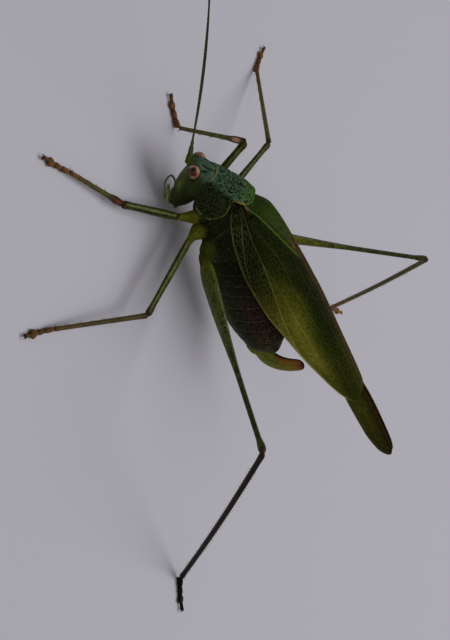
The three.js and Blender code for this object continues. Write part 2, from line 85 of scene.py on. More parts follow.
def profile(rows):
    """A smooth curve through rows of [t, value, ...] that never overshoots them."""
    table = np.array(rows, float)
    at, values = table[:, 0], table[:, 1:]
    steps = np.diff(values, axis=0) / np.diff(at)[:, None]
    before, after = steps[:-1], steps[1:]
    slopes = np.zeros_like(values)
    same = before * after > 0
    total = np.where(same, before + after, 1)
    slopes[1:-1] = np.where(same, 2 * before * after / total, 0)

    def read(t):
        t = np.clip(np.asarray(t, float), at[0], at[-1])
        i = np.clip(np.searchsorted(at, t, side="right") - 1, 0, len(at) - 2)
        span = (at[i + 1] - at[i])[..., None]
        s = (t - at[i])[..., None] / span
        rise = values[i + 1] - values[i]
        start, end = slopes[i] * span, slopes[i + 1] * span
        bend = 3 * rise - 2 * start - end + s * (start + end - 2 * rise)
        return values[i] + s * (start + s * bend)

    return read


def ramp(x, low, high):
    """0 below low, 1 above high, smooth between."""
    s = np.clip((np.asarray(x, float) - low) / (high - low), 0, 1)
    return s * s * (3 - 2 * s)


def hump(x, middle, width):
    """1 at the middle, fading to 0 over about the width on either side."""
    return np.exp(-(((np.asarray(x, float) - middle) / width) ** 2))


def unit(v):
    v = np.asarray(v, float)
    return v / np.linalg.norm(v, axis=-1, keepdims=True)


def bent(nose_down, turn_left=0, lean=0, pivot=(0, 0, 0), height=0):
    """A frame turned about a pivot, in the one above it."""
    turn = Matrix.Rotation(math.radians(lean), 4, "Y")
    turn @= Matrix.Rotation(math.radians(nose_down), 4, "X")
    turn @= Matrix.Rotation(math.radians(turn_left), 4, "Z")
    lift = Vector(pivot) + Vector((0, 0, height))
    return np.array(Matrix.Translation(lift) @ turn @ Matrix.Translation(-Vector(pivot)))


def carried(points, matrix):
    return np.asarray(points, float) @ matrix[:3, :3].T + matrix[:3, 3]


def seen_in(points, matrix):
    return (np.asarray(points, float) - matrix[:3, 3]) @ matrix[:3, :3]


def box_centre(node):
    low, high = (np.array(corner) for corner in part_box(node))
    return (low + high) / 2 / MM


def mirrored(point, side):
    return np.array([point[0] * side, point[1], point[2]])


trunk = bent(**TRUNK)
front = trunk @ bent(**FRONT)
head = front @ bent(**HEAD)
eyes_here = np.mean([carried(mirrored(EYE["centre"], s), head) for s in SIDES.values()], axis=0)
eyes_there = np.mean([box_centre(f"eye_{name}") for name in SIDES], axis=0)
placed = np.eye(4)
placed[:3, 3] = eyes_there - eyes_here
trunk, front, head = (placed @ group for group in (trunk, front, head))

# ---------------------------------------------------------------- colours


def rgb(code):
    """A colour code as linear red, green and blue."""
    parts = np.array([int(code[i:i + 2], 16) / 255 for i in (1, 3, 5)])
    return np.where(parts <= 0.04045, parts / 12.92, ((parts + 0.055) / 1.055) ** 2.4)


def rgba(code):
    return (*rgb(code), 1)


def mixed(base, over, amount):
    """Colours over a base, by an amount for each point."""
    amount = np.asarray(amount, float)[..., None]
    return np.asarray(base) * (1 - amount) + np.asarray(over) * amount


def painted(tint, *layers):
    """A tint under layers of (colour code, amount for each point)."""
    for code, amount in layers:
        tint = mixed(tint, rgb(code), amount)
    return tint


# ---------------------------------------------------------------- meshes


class Shell:
    """A closed surface in millimetres, with a colour and an amount of dark dots at each point."""

    def __init__(self, points, faces, tint=None, dots=None):
        self.points = np.asarray(points, float)
        self.faces = faces
        self.tint = np.tile(rgb("#4a5a24"), (len(points), 1)) if tint is None else np.asarray(tint)
        self.dots = np.zeros(len(points)) if dots is None else np.asarray(dots, float)


def coloured(mesh, tint):
    attribute = mesh.attributes.new("tint", "FLOAT_COLOR", "POINT")
    attribute.data.foreach_set("color", np.c_[tint, np.ones(len(tint))].ravel())


def as_mesh(name, shell, scale=MM):
    mesh = bpy.data.meshes.new(name)
    mesh.from_pydata((shell.points * scale).tolist(), [], [list(face) for face in shell.faces])
    mesh.validate()
    coloured(mesh, shell.tint)
    dots = mesh.attributes.new("dots", "FLOAT", "POINT")
    dots.data.foreach_set("value", shell.dots)
    mesh.polygons.foreach_set("use_smooth", [True] * len(mesh.polygons))
    return mesh


def add_object(name, mesh):
    thing = bpy.data.objects.new(name, mesh)
    bpy.context.scene.collection.objects.link(thing)
    return thing


def in_group(shell, group):
    shell.points = carried(shell.points, group)
    return shell


def piece_of(name, shell, material):
    """A piece of the model, from a closed surface and a material."""
    piece = add_object(name, as_mesh(name, shell))
    piece.data.materials.append(material)
    return piece


def evaluated(thing):
    """The object's mesh with its modifiers applied, as a plain mesh."""
    bpy.context.view_layer.update()
    graph = bpy.context.evaluated_depsgraph_get()
    return bpy.data.meshes.new_from_object(thing.evaluated_get(graph), depsgraph=graph)


def dropped(thing):
    mesh = thing.data
    bpy.data.objects.remove(thing)
    if mesh.users == 0:
        bpy.data.meshes.remove(mesh)


def points_of(mesh):
    flat = np.zeros(len(mesh.vertices) * 3)
    mesh.vertices.foreach_get("co", flat)
    return flat.reshape(-1, 3)


def normals_of(mesh):
    flat = np.zeros(len(mesh.vertices) * 3)
    mesh.vertices.foreach_get("normal", flat)
    return flat.reshape(-1, 3)


def facing_out(points, faces):
    """The faces, turned if they point inwards."""
    volume = 0.0
    for face in faces:
        a = points[face[0]]
        for b, c in zip(face[1:-1], face[2:]):
            volume += a @ np.cross(points[b], points[c])
    return [face[::-1] for face in faces] if volume < 0 else faces


def ring_faces(rings, around):
    """Quads between the rings, and a fan to a pole before the first and after the last."""
    faces = []
    for i in range(rings - 1):
        for k in range(around):
            n = (k + 1) % around
            faces.append((i * around + k, i * around + n, (i + 1) * around + n, (i + 1) * around + k))
    start, end = rings * around, rings * around + 1
    for k in range(around):
        n = (k + 1) % around
        faces.append((start, n, k))
        faces.append((end, (rings - 1) * around + k, (rings - 1) * around + n))
    return faces


def loft(path, section, top=UP, around=16, along=24, caps=(0.1, 0.1), paint=None):
    """A closed body along a path. section(t) gives half width, half height above and below, and
    squareness. paint(t, angle) gives colours and dots, where angle 90 is the top."""
    t = (1 - np.cos(np.pi * np.arange(1, along) / along)) / 2
    step = 1e-3
    ahead = unit(path(np.minimum(t + step, 1)) - path(np.maximum(t - step, 0)))
    side = unit(np.cross(ahead, top))
    rise = np.cross(side, ahead)
    sizes = section(t)
    wide, above, below = sizes[:, 0], sizes[:, 1], sizes[:, 2]
    square = sizes[:, 3] if sizes.shape[1] > 3 else np.full(len(t), 2.0)
    near = np.minimum(np.minimum(t / caps[0], (1 - t) / caps[1]), 1)
    roundness = np.sqrt(np.maximum(1 - (1 - near) ** 2, 0))
    angle = 2 * np.pi * np.arange(around) / around
    power = (2 / square)[:, None]
    across = np.sign(np.cos(angle)) * np.abs(np.cos(angle)) ** power * (wide * roundness)[:, None]
    tall = np.where(np.sin(angle) > 0, above[:, None], below[:, None]) * roundness[:, None]
    upright = np.sign(np.sin(angle)) * np.abs(np.sin(angle)) ** power * tall
    body = path(t)[:, None] + side[:, None] * across[..., None] + rise[:, None] * upright[..., None]
    ends = path(np.array([0.0, 1.0]))
    points = np.concatenate([body.reshape(-1, 3), ends])
    faces = facing_out(points, ring_faces(len(t), around))
    if paint is None:
        return Shell(points, faces)
    every_t = np.concatenate([np.repeat(t, around), [0, 1]])
    every_angle = np.degrees(np.concatenate([np.tile(angle, len(t)), [np.pi / 2] * 2]))
    tint, dots = paint(every_t, every_angle)
    return Shell(points, faces, tint, dots)


def straight(start, end):
    start, end = np.asarray(start, float), np.asarray(end, float)
    return lambda t: start + np.asarray(t)[..., None] * (end - start)


def bowed(start, end, sideways):
    line = straight(start, end)
    return lambda t: line(t) + np.sin(np.pi * np.asarray(t))[..., None] * np.asarray(sideways)


def curved(points):
    """A smooth path through the points."""
    points = np.asarray(points, float)
    reach = np.concatenate([[0], np.cumsum(np.linalg.norm(np.diff(points, axis=0), axis=1) ** 0.5)])
    reach /= reach[-1]
    tangents = np.gradient(points, reach, axis=0)

    def path(t):
        t = np.clip(np.asarray(t, float), 0, 1)
        i = np.clip(np.searchsorted(reach, t, side="right") - 1, 0, len(reach) - 2)
        span = (reach[i + 1] - reach[i])[..., None]
        s = (t - reach[i])[..., None] / span
        hermite = (2 * s**3 - 3 * s**2 + 1) * points[i] + (s**3 - 2 * s**2 + s) * span * tangents[i]
        return hermite + (3 * s**2 - 2 * s**3) * points[i + 1] + (s**3 - s**2) * span * tangents[i + 1]

    return path


def sections(*rows):
    """Sections for loft, from rows of (t, half width) or of (t, half width, half height)."""
    return profile([(row[0], row[1], row[-1], row[-1]) for row in rows])


def two_tone(base, over, amount, dots=0.0):
    """A paint for loft that goes from one colour to another by amount(t)."""
    return lambda t, angle: (mixed(rgb(base), rgb(over), amount(t)), np.full(len(t), dots))


def ball(centre, sizes, around=16, along=12):
    """An ellipsoid with the given half sizes."""
    centre = np.asarray(centre, float)
    up = UP * sizes[2]
    section = lambda t: np.tile([sizes[0], sizes[1], sizes[1]], (len(t), 1))
    return loft(straight(centre - up, centre + up), section, top=AHEAD, around=around, along=along,
                caps=(0.5, 0.5))


# ---------------------------------------------------------------- legs


def vertices_of(node):
    return points_of(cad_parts[node].data) / MM


def farthest(points, start):
    return points[np.argmax(np.linalg.norm(points - start, axis=1))]


ANKLE_RISE = 0.15  # how far a shin ends above the middle of the heel
CLAW_ROOM = 0.15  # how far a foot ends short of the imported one, for the claws


def leg_joints(pair, name):
    """Root, hip, knee, ankle and toes of a leg: the body's own places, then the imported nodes'."""
    side = SIDES[name]
    group = front if pair == "fore" else trunk
    back = RIGHT_FORE_SWING if (pair, name) == ("fore", "right") else 0
    root, hip = (
        carried(mirrored(HIPS[pair][key], side) + np.array([0, back, 0]), group) for key in ("root", "hip")
    )
    knee = farthest(vertices_of(f"femur_{pair}_{name}"), hip)
    foot = vertices_of(f"tarsus_{pair}_{name}")
    toes = farthest(foot, knee)
    heel = farthest(foot, toes)
    return root, hip, knee, heel + UP * ANKLE_RISE, toes


# Each leg's colours. The left legs, turned from the light, are painted darker than the right ones: painted
# shade.
LEG_TINTS = {
    "fore_left": dict(femur="#474d1e", tibia="#514d22", foot="#6b4a26"),
    "mid_left": dict(femur="#5c6238", tibia="#4d4528", foot="#5e4224"),
    "hind_left": dict(femur="#5f662a", tibia="#20170e", foot="#120d0a"),
    "fore_right": dict(femur="#5c602c", tibia="#63683a", foot="#6f4a2a"),
    "mid_right": dict(femur="#62683c", tibia="#63613c", foot="#6f4c2e"),
    "hind_right": dict(femur="#70741e", tibia="#5c5730", foot="#7c5830"),
}
HIP_TINT = rgb("#5d6017")
HIND_HIP_TINT = rgb("#40450f")
KNEE_TINT = rgb("#3a2c1c")
# Painted sheen: the bluish band along the hind femora.
SHEEN_TINT = rgb("#566864")

FEMUR = {
    "fore": profile([[0, 0.26, 0.31, 0.31, 2], [0.3, 0.3, 0.34, 0.34, 2.4], [0.85, 0.26, 0.29, 0.29, 2.4],
                     [0.95, 0.29, 0.34, 0.32, 2.2], [1, 0.27, 0.31, 0.29, 2]]),
    "mid": profile([[0, 0.26, 0.32, 0.32, 2], [0.4, 0.27, 0.29, 0.29, 2.4], [0.85, 0.2, 0.24, 0.24, 2.4],
                    [0.95, 0.24, 0.3, 0.28, 2.2], [1, 0.24, 0.28, 0.26, 2]]),
    "hind": profile([[0, 0.4, 0.5, 0.7, 2], [0.1, 0.5, 0.72, 1.12, 2.2], [0.28, 0.38, 0.65, 1.0, 2.3],
                     [0.5, 0.26, 0.34, 0.52, 2.4], [0.65, 0.2, 0.23, 0.24, 2.4],
                     [0.93, 0.19, 0.21, 0.21, 2.4], [0.975, 0.27, 0.37, 0.33, 2.2],
                     [1, 0.26, 0.36, 0.34, 2]]),
}
TIBIA = {
    "fore": profile([[0, 0.22, 0.24, 0.26, 2], [0.14, 0.33, 0.28, 0.3, 2.2], [0.27, 0.19, 0.2, 0.2, 3],
                     [0.95, 0.17, 0.17, 0.17, 3], [1, 0.2, 0.2, 0.2, 2.4]]),
    "mid": profile([[0, 0.2, 0.24, 0.24, 2], [0.1, 0.19, 0.21, 0.21, 3], [0.95, 0.17, 0.17, 0.17, 3],
                    [1, 0.2, 0.2, 0.2, 2.4]]),
    "hind": profile([[0, 0.22, 0.27, 0.27, 2], [0.06, 0.18, 0.22, 0.2, 3], [0.95, 0.18, 0.19, 0.19, 3],
                     [1, 0.22, 0.23, 0.23, 2.4]]),
}
# The foot's four joints: two short ones with pads, a broad lobed one and a slender last one.
FOOT_TOP = profile([[0, 0.17, 0.2], [0.2, 0.2, 0.22], [0.28, 0.13, 0.15], [0.34, 0.17, 0.18],
                    [0.46, 0.21, 0.19], [0.52, 0.13, 0.13], [0.58, 0.22, 0.16], [0.68, 0.36, 0.14],
                    [0.74, 0.26, 0.12], [0.78, 0.11, 0.12], [0.9, 0.1, 0.12], [1, 0.15, 0.14]])
PAD_DEPTH = 0.3  # the middle of a foot over the floor


def stripes(angle, places, width):
    """Lines along a leg, a quarter turn on from each of the places and on both sides of it."""
    return sum(hump(np.mod(angle - place, 180), 90, width) for place in places)


def leg_paint(part, pair, name):
    """Colours and dots along one length of a leg."""
    tints = {key: rgb(code) for key, code in LEG_TINTS[f"{pair}_{name}"].items()}
    hind = pair == "hind"

    def femur(t, angle):
        tint = mixed(tints["femur"], HIP_TINT, 1 - ramp(t, 0, 0.18))
        if hind:
            tint = mixed(tint, rgb("#30381c"), ramp(t, 0.3, 0.75) * 0.75)
            # Painted sheen: a bluish band along the hind femur, with fewer dots under it.
            tint = mixed(tint, SHEEN_TINT, hump(angle, 122, 16) * ramp(t, 0.12, 0.3))
            dots = 0.98 - 0.7 * hump(angle, 122, 20)
        else:
            lines = stripes(angle, (26, 98), 15)
            tint = painted(tint, ("#7c8252", stripes(angle, (62,), 18) * 0.6), ("#1c200c", lines * 0.65))
            tint = mixed(tint, KNEE_TINT, ramp(t, 0.8, 1) * 0.45)
            dots = 1.7 * lines
        knee = ramp(t, 0.965 if hind else 0.93, 0.99)
        return mixed(tint, KNEE_TINT, knee * 0.9), dots * ramp(t, 0.04, 0.14) * (1 - ramp(t, 0.94, 0.98))

    def tibia(t, angle):
        tint = mixed(tints["tibia"], tints["foot"], ramp(t, 0.6, 1) * 0.75)
        tint = mixed(tint, KNEE_TINT, 1 - ramp(t, 0.0, 0.04 if hind else 0.08))
        if pair == "fore":
            ear = hump(t, 0.12, 0.05) * hump(np.mod(angle + 90, 180) - 90, 0, 32)
            # The drum is painted pale on the right leg, in the light, and dark reddish on the left, in shade:
            # painted light and shade.
            drum = "#d9ae94" if name == "right" else "#6b3020"
            tint = painted(tint, ("#230b06", hump(t, 0.12, 0.13) * 0.95), (drum, np.minimum(ear * 1.6, 1)))
        return tint, np.full(len(t), 0.35)

    def foot(t, angle):
        joints = sum(hump(t, middle, 0.03) for middle in (0.28, 0.52, 0.78))
        tint = mixed(tints["foot"], tints["foot"] * 0.45, np.minimum(joints + ramp(t, 0.8, 1) * 0.7, 1))
        return tint, np.full(len(t), 0.2)

    return {"femur": femur, "tibia": tibia, "foot": foot}[part]


def leg_shells(pair, name):
    """The femur, tibia and foot of one leg, each a closed body whose end lies in the next one's."""
    hip, knee, ankle, toes = leg_joints(pair, name)[1:]
    outward = unit(knee - (hip + ankle) / 2)
    bow, femur_rings, tibia_rings = (HIND_BOW, 72, 60) if pair == "hind" else (0, 36, 36)
    femur = loft(bowed(hip, knee, -outward * bow), FEMUR[pair], top=outward, around=20, along=femur_rings,
                 caps=(0.05, 0.28 / np.linalg.norm(knee - hip)), paint=leg_paint("femur", pair, name))
    tibia = loft(bowed(knee, ankle, outward * bow), TIBIA[pair], top=outward, around=16, along=tibia_rings,
                 caps=(0.02, 0.25 / np.linalg.norm(ankle - knee)), paint=leg_paint("tibia", pair, name))
    heel = ankle - UP * ANKLE_RISE
    length = np.linalg.norm(toes - heel) - CLAW_ROOM
    heading = unit((toes - heel) * LEVEL)
    lift = profile([[0, 0.1], [0.2, 0.0], [0.7, -0.06], [0.8, -0.02], [1, 0.04]])
    path = lambda t: heel + heading * (np.asarray(t)[..., None] * length) + UP * lift(t)

    def section(t):
        sizes = FOOT_TOP(t)
        sole = np.maximum(PAD_DEPTH + lift(t)[:, 0] - 0.01 - 0.09 * ramp(t, 0.72, 0.8), 0.1)
        return np.c_[sizes[:, 0], sizes[:, 1], sole, np.full(len(t), 2.3)]

    foot = loft(path, section, around=16, along=56, caps=(0.05, 0.05), paint=leg_paint("foot", pair, name))
    return [femur, tibia, foot]


# ---------------------------------------------------------------- trunk, head and end of the abdomen

HEAD_ROWS = profile([[0, 1.35, -1.1, 0.95], [0.2, 1.72, -0.8, 1.15], [0.45, 1.72, -0.7, 1.27],
                     [0.65, 1.62, -0.6, 1.2], [0.8, 1.42, -0.42, 1.03], [0.92, 1.2, -0.1, 0.85],
                     [1, 0.98, 0.15, 0.68]])
CROWN, CHIN = 0.02, -4.85
THORAX_ROWS = profile([[0.9, -1.2, -4.6, 1.35], [2.6, -0.5, -5.4, 1.6], [5.0, -0.3, -6.05, 1.68],
                       [8.2, -0.9, -6.6, 1.6]])
ABDOMEN_ROWS = profile([[6.6, -2.0, -6.6, 1.55], [9.5, -2.3, -7.4, 1.8], [13.0, -2.8, -8.1, 1.9],
                        [15.6, -3.6, -7.7, 1.45], [17.3, -4.6, -6.6, 0.95]])
PALPS = {
    "maxillary_left": [(0.6, -0.9, -4.6), (0.72, -1.5, -4.0), (0.75, -1.95, -3.35), (0.78, -1.85, -3.7),
                       (0.75, -1.1, -4.9)],
    "maxillary_right": [(-0.5, -1.0, -4.5), (-0.35, -1.7, -3.4), (-0.3, -2.1, -3.25), (-0.3, -2.15, -4.05),
                        (-0.3, -1.2, -5.7)],
    "labial_left": [(0.4, -0.3, -4.7), (0.52, -0.25, -5.0), (0.45, -0.45, -5.22)],
    "labial_right": [(-0.4, -0.3, -4.7), (-0.52, -0.25, -5.0), (-0.45, -0.45, -5.22)],
}
CERCUS_POINTS = ((0.4, 15.6, -4.5), (0.5, 16.3, -4.85), (0.42, 16.95, -5.1))
SOCKET = (0.4, -1.9, -0.75)  # of the left antenna, in the head's frame
FEELER_ROOT = 1.45  # how much of each antenna belongs to the skin
FEELER_START = 1.1  # where its ringed part starts, inside that root
FEELER_SHORT = 0.08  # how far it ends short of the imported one


def barrel(rows, first, last, caps, around=40, along=40, square=2.0):
    """A body along the trunk from rows of [distance back, top, underside, half width]."""
    back = lambda t: first + (last - first) * np.asarray(t)

    def path(t):
        sizes = rows(back(t))
        return np.stack([np.zeros_like(back(t)), back(t), (sizes[..., 0] + sizes[..., 1]) / 2], axis=-1)

    def section(t):
        sizes = rows(back(t))
        half = (sizes[:, 0] - sizes[:, 1]) / 2
        return np.c_[sizes[:, 2], half, half, np.full(len(t), square)]

    return loft(path, section, around=around, along=along, caps=caps)


def cranium():
    def path(t):
        t = np.asarray(t, float)
        sizes = HEAD_ROWS(t)
        ahead = (sizes[..., 0] + sizes[..., 1]) / 2
        return np.stack([np.zeros_like(t), -ahead, CROWN + (CHIN - CROWN) * t], axis=-1)

    def section(t):
        sizes = HEAD_ROWS(t)
        half = (sizes[:, 0] - sizes[:, 1]) / 2
        return np.c_[sizes[:, 2], half, half, np.full(len(t), 2.3)]

    shell = loft(path, section, top=AHEAD, around=40, along=36, caps=(0.2, 0.12))
    y, z = shell.points.T[1:]
    z -= 0.15 * ramp(-y, 0.4, 1.3) * ramp(z, -1.4, -0.2)  # the brow slopes down between the eyes
    return shell


def head_shells():
    forehead = profile([[0, 0.45, 0.24, 0.3], [0.6, 0.24, 0.2, 0.22], [1, 0.14, 0.15, 0.16]])
    lip = sections((0, 0.68, 0.26), (0.6, 0.62, 0.24), (1, 0.5, 0.2))
    jaw = sections((0, 0.35, 0.6), (0.6, 0.3, 0.45), (1, 0.16, 0.22))
    chin = sections((0, 0.65, 0.4), (1, 0.42, 0.18))
    shells = [
        cranium(),
        loft(curved([(0, -0.7, -0.6), (0, -1.5, -0.62), (0, -1.9, -0.8)]), forehead, caps=(0.2, 0.2)),
        loft(curved([(0, -1.22, -4.0), (0, -1.08, -4.6), (0, -0.82, -5.22)]), lip, top=AHEAD, around=24,
             along=20, caps=(0.2, 0.1)),
    ]
    for side in SIDES.values():
        points = [(0.66 * side, -0.55, -3.8), (0.58 * side, -0.55, -4.5), (0.32 * side, -0.6, -5.12)]
        shells.append(loft(curved(points), jaw, top=AHEAD, around=20, along=16, caps=(0.2, 0.3)))
        x, y, z = mirrored(SOCKET, side)
        shells.append(ball((x * 1.05, y + 0.3, z), (0.3, 0.28, 0.3)))
    shells.append(loft(straight((0, 0.0, -3.9), (0, -0.3, -5.05)), chin, top=AHEAD, caps=(0.2, 0.3)))
    return [in_group(shell, head) for shell in shells]


def trunk_shells():
    """The bodies that melt into one skin, with the stumps that the legs grow from."""
    thorax = in_group(barrel(THORAX_ROWS, 0.9, 8.2, (0.16, 0.16), square=2.8), trunk)
    abdomen = in_group(barrel(ABDOMEN_ROWS, 6.6, 17.3, (0.12, 0.14), along=56), trunk)
    neck_size = profile([[0, 1.0, 1.5, 1.2, 2.8], [0.18, 1.2, 1.74, 1.3, 3.4], [0.24, 1.22, 1.73, 1.3, 4],
                         [0.29, 1.14, 1.6, 1.3, 5], [0.4, 1.16, 1.56, 1.3, 5], [1, 1.15, 1.4, 1.4, 3]])
    neck = loft(straight((0, -1.0, -1.68), (0, 3.0, -2.0)), neck_size, around=64, along=60, caps=(0.1, 0.1))
    shells = head_shells() + [thorax, abdomen, in_group(neck, front)]
    for pair, name in LEGS:
        root, hip, knee = leg_joints(pair, name)[:3]
        wide, narrow, last = HIPS[pair]["stump"]
        stump = sections((0, wide), (0.3, wide * 0.82), (0.6, narrow), (1, last * 0.85, last))
        path = curved([root, hip * 0.85 + root * 0.15, hip + unit(knee - hip) * HIPS[pair]["into_leg"]])
        shells.append(loft(path, stump, around=24, along=30, caps=(0.1, 0.06)))
    plate = sections((0, 0.75, 0.5), (0.6, 0.62, 0.42), (1, 0.22))
    shells.append(in_group(loft(curved([(0, 14.9, -6.9), (0, 16.2, -7.4), (0, 17.4, -7.05)]), plate,
                                around=24, along=20, caps=(0.25, 0.25)), trunk))
    return shells


def joined(shells):
    """Several bodies as one, each still closed by itself."""
    start = 0
    faces = []
    for shell in shells:
        faces += [tuple(n + start for n in face) for face in shell.faces]
        start += len(shell.points)
    parts = ([getattr(shell, key) for shell in shells] for key in ("points", "tint", "dots"))
    points, tint, dots = (np.concatenate(part) for part in parts)
    return Shell(points, faces, tint, dots)


def fused(shells):
    """Several overlapping bodies as one smooth skin, still in millimetres."""
    lump = add_object("lump", as_mesh("lump", joined(shells), scale=1))
    remesh = lump.modifiers.new("one skin", "REMESH")
    remesh.mode = "VOXEL"
    remesh.voxel_size = SKIN_VOXEL
    remesh.use_smooth_shade = True
    soften = lump.modifiers.new("soften", "SMOOTH")
    soften.factor = 0.5
    soften.iterations = 7
    mesh = evaluated(lump)
    dropped(lump)
    return mesh


# ---------------------------------------------------------------- folds and colours of the skin

# The hind edges of the abdomen's rings, and the sutures of the thorax as (distance back, lean).
RINGS = np.array([7.6, 8.7, 9.65, 10.6, 11.7, 12.9, 13.9, 14.6, 15.2, 15.8, 16.4])
SUTURES = ((3.6, 0.35), (4.9, 0.35), (6.3, 0.35), (7.4, 0.3))


def ring_share(place):
    """How far along its own ring of the abdomen each place is. The rings lean forwards below."""
    back = place[:, 1] - 0.32 * (place[:, 2] + 0.3 * place[:, 1] + 1.7)
    i = np.clip(np.searchsorted(RINGS, back) - 1, 0, len(RINGS) - 2)
    return np.clip((back - RINGS[i]) / (RINGS[i + 1] - RINGS[i]), 0, 1)


def sutures_at(back, z, behind, width):
    return sum(hump(back + lean * (z + 4), middle + behind, width) for middle, lean in SUTURES)


def eye_reach(place):
    """How far a place on the head is from the middle of the nearer eye, where a radius reaches its rim."""
    x, y, z = place.T
    return np.linalg.norm((np.c_[np.abs(x), y, z] - EYE["centre"]) / EYE["shape"], axis=1)


# The reliefs say how far each point moves out along its normal.


def abdomen_relief(place):
    back = place[:, 1]
    share = ring_share(place)
    overlap = 0.05 * share - 0.08 * hump(share, 0, 0.1) - 0.03 * hump(share, 1, 0.05)
    return overlap * ramp(back, 7.8, 8.6) * (1 - ramp(back, 15.8, 16.4))


def thorax_relief(place):
    x, back, z = place.T
    side = ramp(np.abs(x), 0.7, 1.2)
    return -0.09 * sutures_at(back, z, 0, 0.1) * side * (1 - ramp(back, 7.6, 8.2)) * ramp(back, 3.0, 3.4)


def head_relief(place):
    x, y, z = place.T
    facing = ramp(-y, 0.6, 1.3)
    brow = hump(z, -3.45, 0.07) * facing
    lip = hump(z, -4.0, 0.06) * facing
    cheek = hump(np.abs(x) - 0.72 - 0.1 * (z + 3.4), 0, 0.06) * ramp(-z, 2.4, 2.9) * facing
    middle = hump(x, 0, 0.06) * ramp(z, -0.4, 0.0) * ramp(y, -1.2, -0.6)
    orbit = hump(eye_reach(place), EYE["radius"] + 0.1, 0.06)
    return -0.08 * brow - 0.08 * lip - 0.06 * cheek - 0.05 * middle + 0.03 * orbit


def skin_relief(points):
    in_trunk, in_front, in_head = (seen_in(points, group) for group in (trunk, front, head))
    at_head = (in_front[:, 1] < 0.1) & (in_head[:, 1] < 0.7)
    behind = in_trunk[:, 1] > 7.7
    relief = np.where(at_head, head_relief(in_head), 0)
    relief = np.where(behind & ~at_head, abdomen_relief(in_trunk), relief)
    return np.where(~behind & ~at_head, thorax_relief(in_trunk), relief)


def trunk_paint(place):
    """Colours and dots of the thorax and the abdomen."""
    back, z = place.T[1:]
    # Thorax: dark olive sides with pale edges to the plates, greener below.
    seams = np.minimum(sutures_at(back, z, 0.16, 0.07), 1)
    tint = painted(rgb("#282b0e"), ("#5b5c33", seams * 0.6),
                   ("#4d5a22", ramp(-z, 4.6, 5.6) * (1 - ramp(back, 6.5, 8)) * 0.8))
    # Abdomen: purplish brown above, green along the flank and below, thin pale rings.
    behind = ramp(back, 7.0, 8.2)
    height = profile([[6.6, -4.3], [9.5, -4.85], [13, -5.4], [17.3, -5.6]])(back)[:, 0]
    flank = ramp(height - z, -0.7, 0.8)
    ring = hump(ring_share(place), 0.95, 0.03) * ramp(back, 8.2, 8.8)
    ring = ring * (1 - 0.75 * ramp(height - z, 0.9, 1.7)) * (1 - ramp(back, 15.4, 15.9))
    belly = painted(rgb("#1c1f0a"), ("#3c2a24", ramp(back + 0.5 * (z - height), 9.5, 13.0)),
                    ("#4a4420", ramp(back, 14.4, 15.8) * 0.7), ("#262e0c", flank),
                    ("#3a4614", ramp(height - z, 0.9, 1.8)),
                    ("#7d6848", ring * 0.7), ("#55592a", ramp(back, 16.0, 17.0) * flank))
    plate = ramp(back, 15.5, 16.6) * ramp(-z, 6.0, 7.0)
    tint = painted(mixed(tint, belly, behind), ("#71702a", plate))
    dots = np.where(plate > 0.5, 0.15, 1.05)
    return tint, dots * (1 - 0.6 * ramp(height - z, 1.0, 2.2) * behind)


def near_hip(points, pair, name):
    """1 on a leg's hip and 0 away from it."""
    root, hip, knee = leg_joints(pair, name)[:3]
    inner = root * 0.35 + hip * 0.65
    span = hip + unit(knee - hip) * 0.9 - inner
    share = np.clip((points - inner) @ span / np.sum(span**2), 0, 1)
    return 1 - ramp(np.linalg.norm(points - inner - share[:, None] * span, axis=1), 0.6, 1.15)


def head_tint(place):
    """Olive face with pale streaks, a crown painted lighter and bluish as lit from above with two pairs of
    black dashes, dark rims round the eyes.
    """
    x, y, z = place.T
    streak = hump(np.sin(7 * x + 1.5 * np.sin(2 * z)), 1, 0.5) * ramp(-z, 1.6, 2.4)
    # The crown: painted lighter and bluish as lit from above.
    crown = ramp(z, -1.1, -0.35) * (1 - ramp(-y, 1.35, 1.75))
    dash = 0
    for away, bow, first, last in ((0.38, 0.06, -0.95, 0.25), (0.86, -0.12, -0.74, -0.25)):
        length = ramp(y, first, first + 0.12) * (1 - ramp(y, last - 0.12, last))
        wander = bow * np.sin(3.5 * (y - first))
        dash = np.maximum(dash, hump(np.abs(x), away + wander, 0.07) * length * ramp(z, -1.35, -1.05))
    sutures = np.maximum(hump(z, -3.45, 0.06), hump(z, -4.0, 0.05)) * ramp(-y, 0.6, 1.3)
    return painted(rgb("#303b15"), ("#4e5b29", ramp(-y, 0.8, 1.5)),
                   ("#1f2506", ramp(-z, 1.9, 3.0) * (1 - ramp(-y, 0.2, 1.0))),
                   ("#74803c", streak * ramp(-y, 0.9, 1.4) * 0.5), ("#4b6552", crown),
                   ("#5a6424", ramp(-y, 1.5, 1.85) * ramp(z, -1.3, -0.8)),
                   ("#050805", np.minimum(dash * 1.3, 1)), ("#6a5a22", ramp(-z, 4.5, 5.1) * 0.7),
                   ("#14180a", sutures * 0.75),
                   ("#14180a", hump(eye_reach(place), EYE["radius"] + 0.02, 0.06) * 0.8))


def skin_paint(points):
    """Colour and dots of the trunk's and the head's skin at each point."""
    in_trunk, in_front, in_head = (seen_in(points, group) for group in (trunk, front, head))
    tint, dots = trunk_paint(in_trunk)
    for pair, name in LEGS:
        near = near_hip(points, pair, name)
        tint = mixed(tint, HIND_HIP_TINT if pair == "hind" else HIP_TINT, near)
        dots = dots * (1 - near)
    at_head = np.where(in_front[:, 1] < 0.1, 1.0, 0.0) * (1 - ramp(in_head[:, 1], 0.5, 0.9))
    return mixed(tint, head_tint(in_head), at_head), dots * (1 - at_head * 0.85)


def palp_section(joints):
    """A thin palp, waisted where two of its joints meet and thicker at the end."""
    thick, waist = 0.085, 0.3

    def section(t):
        phase = np.mod(np.asarray(t) * joints, 1)
        near_joint = hump(phase, 0, 0.1) + hump(phase, 1, 0.1)
        size = thick * (1 - waist * near_joint) * (1 + 0.25 * ramp(t, 0.85, 1))
        return np.c_[size, size, size]

    return section


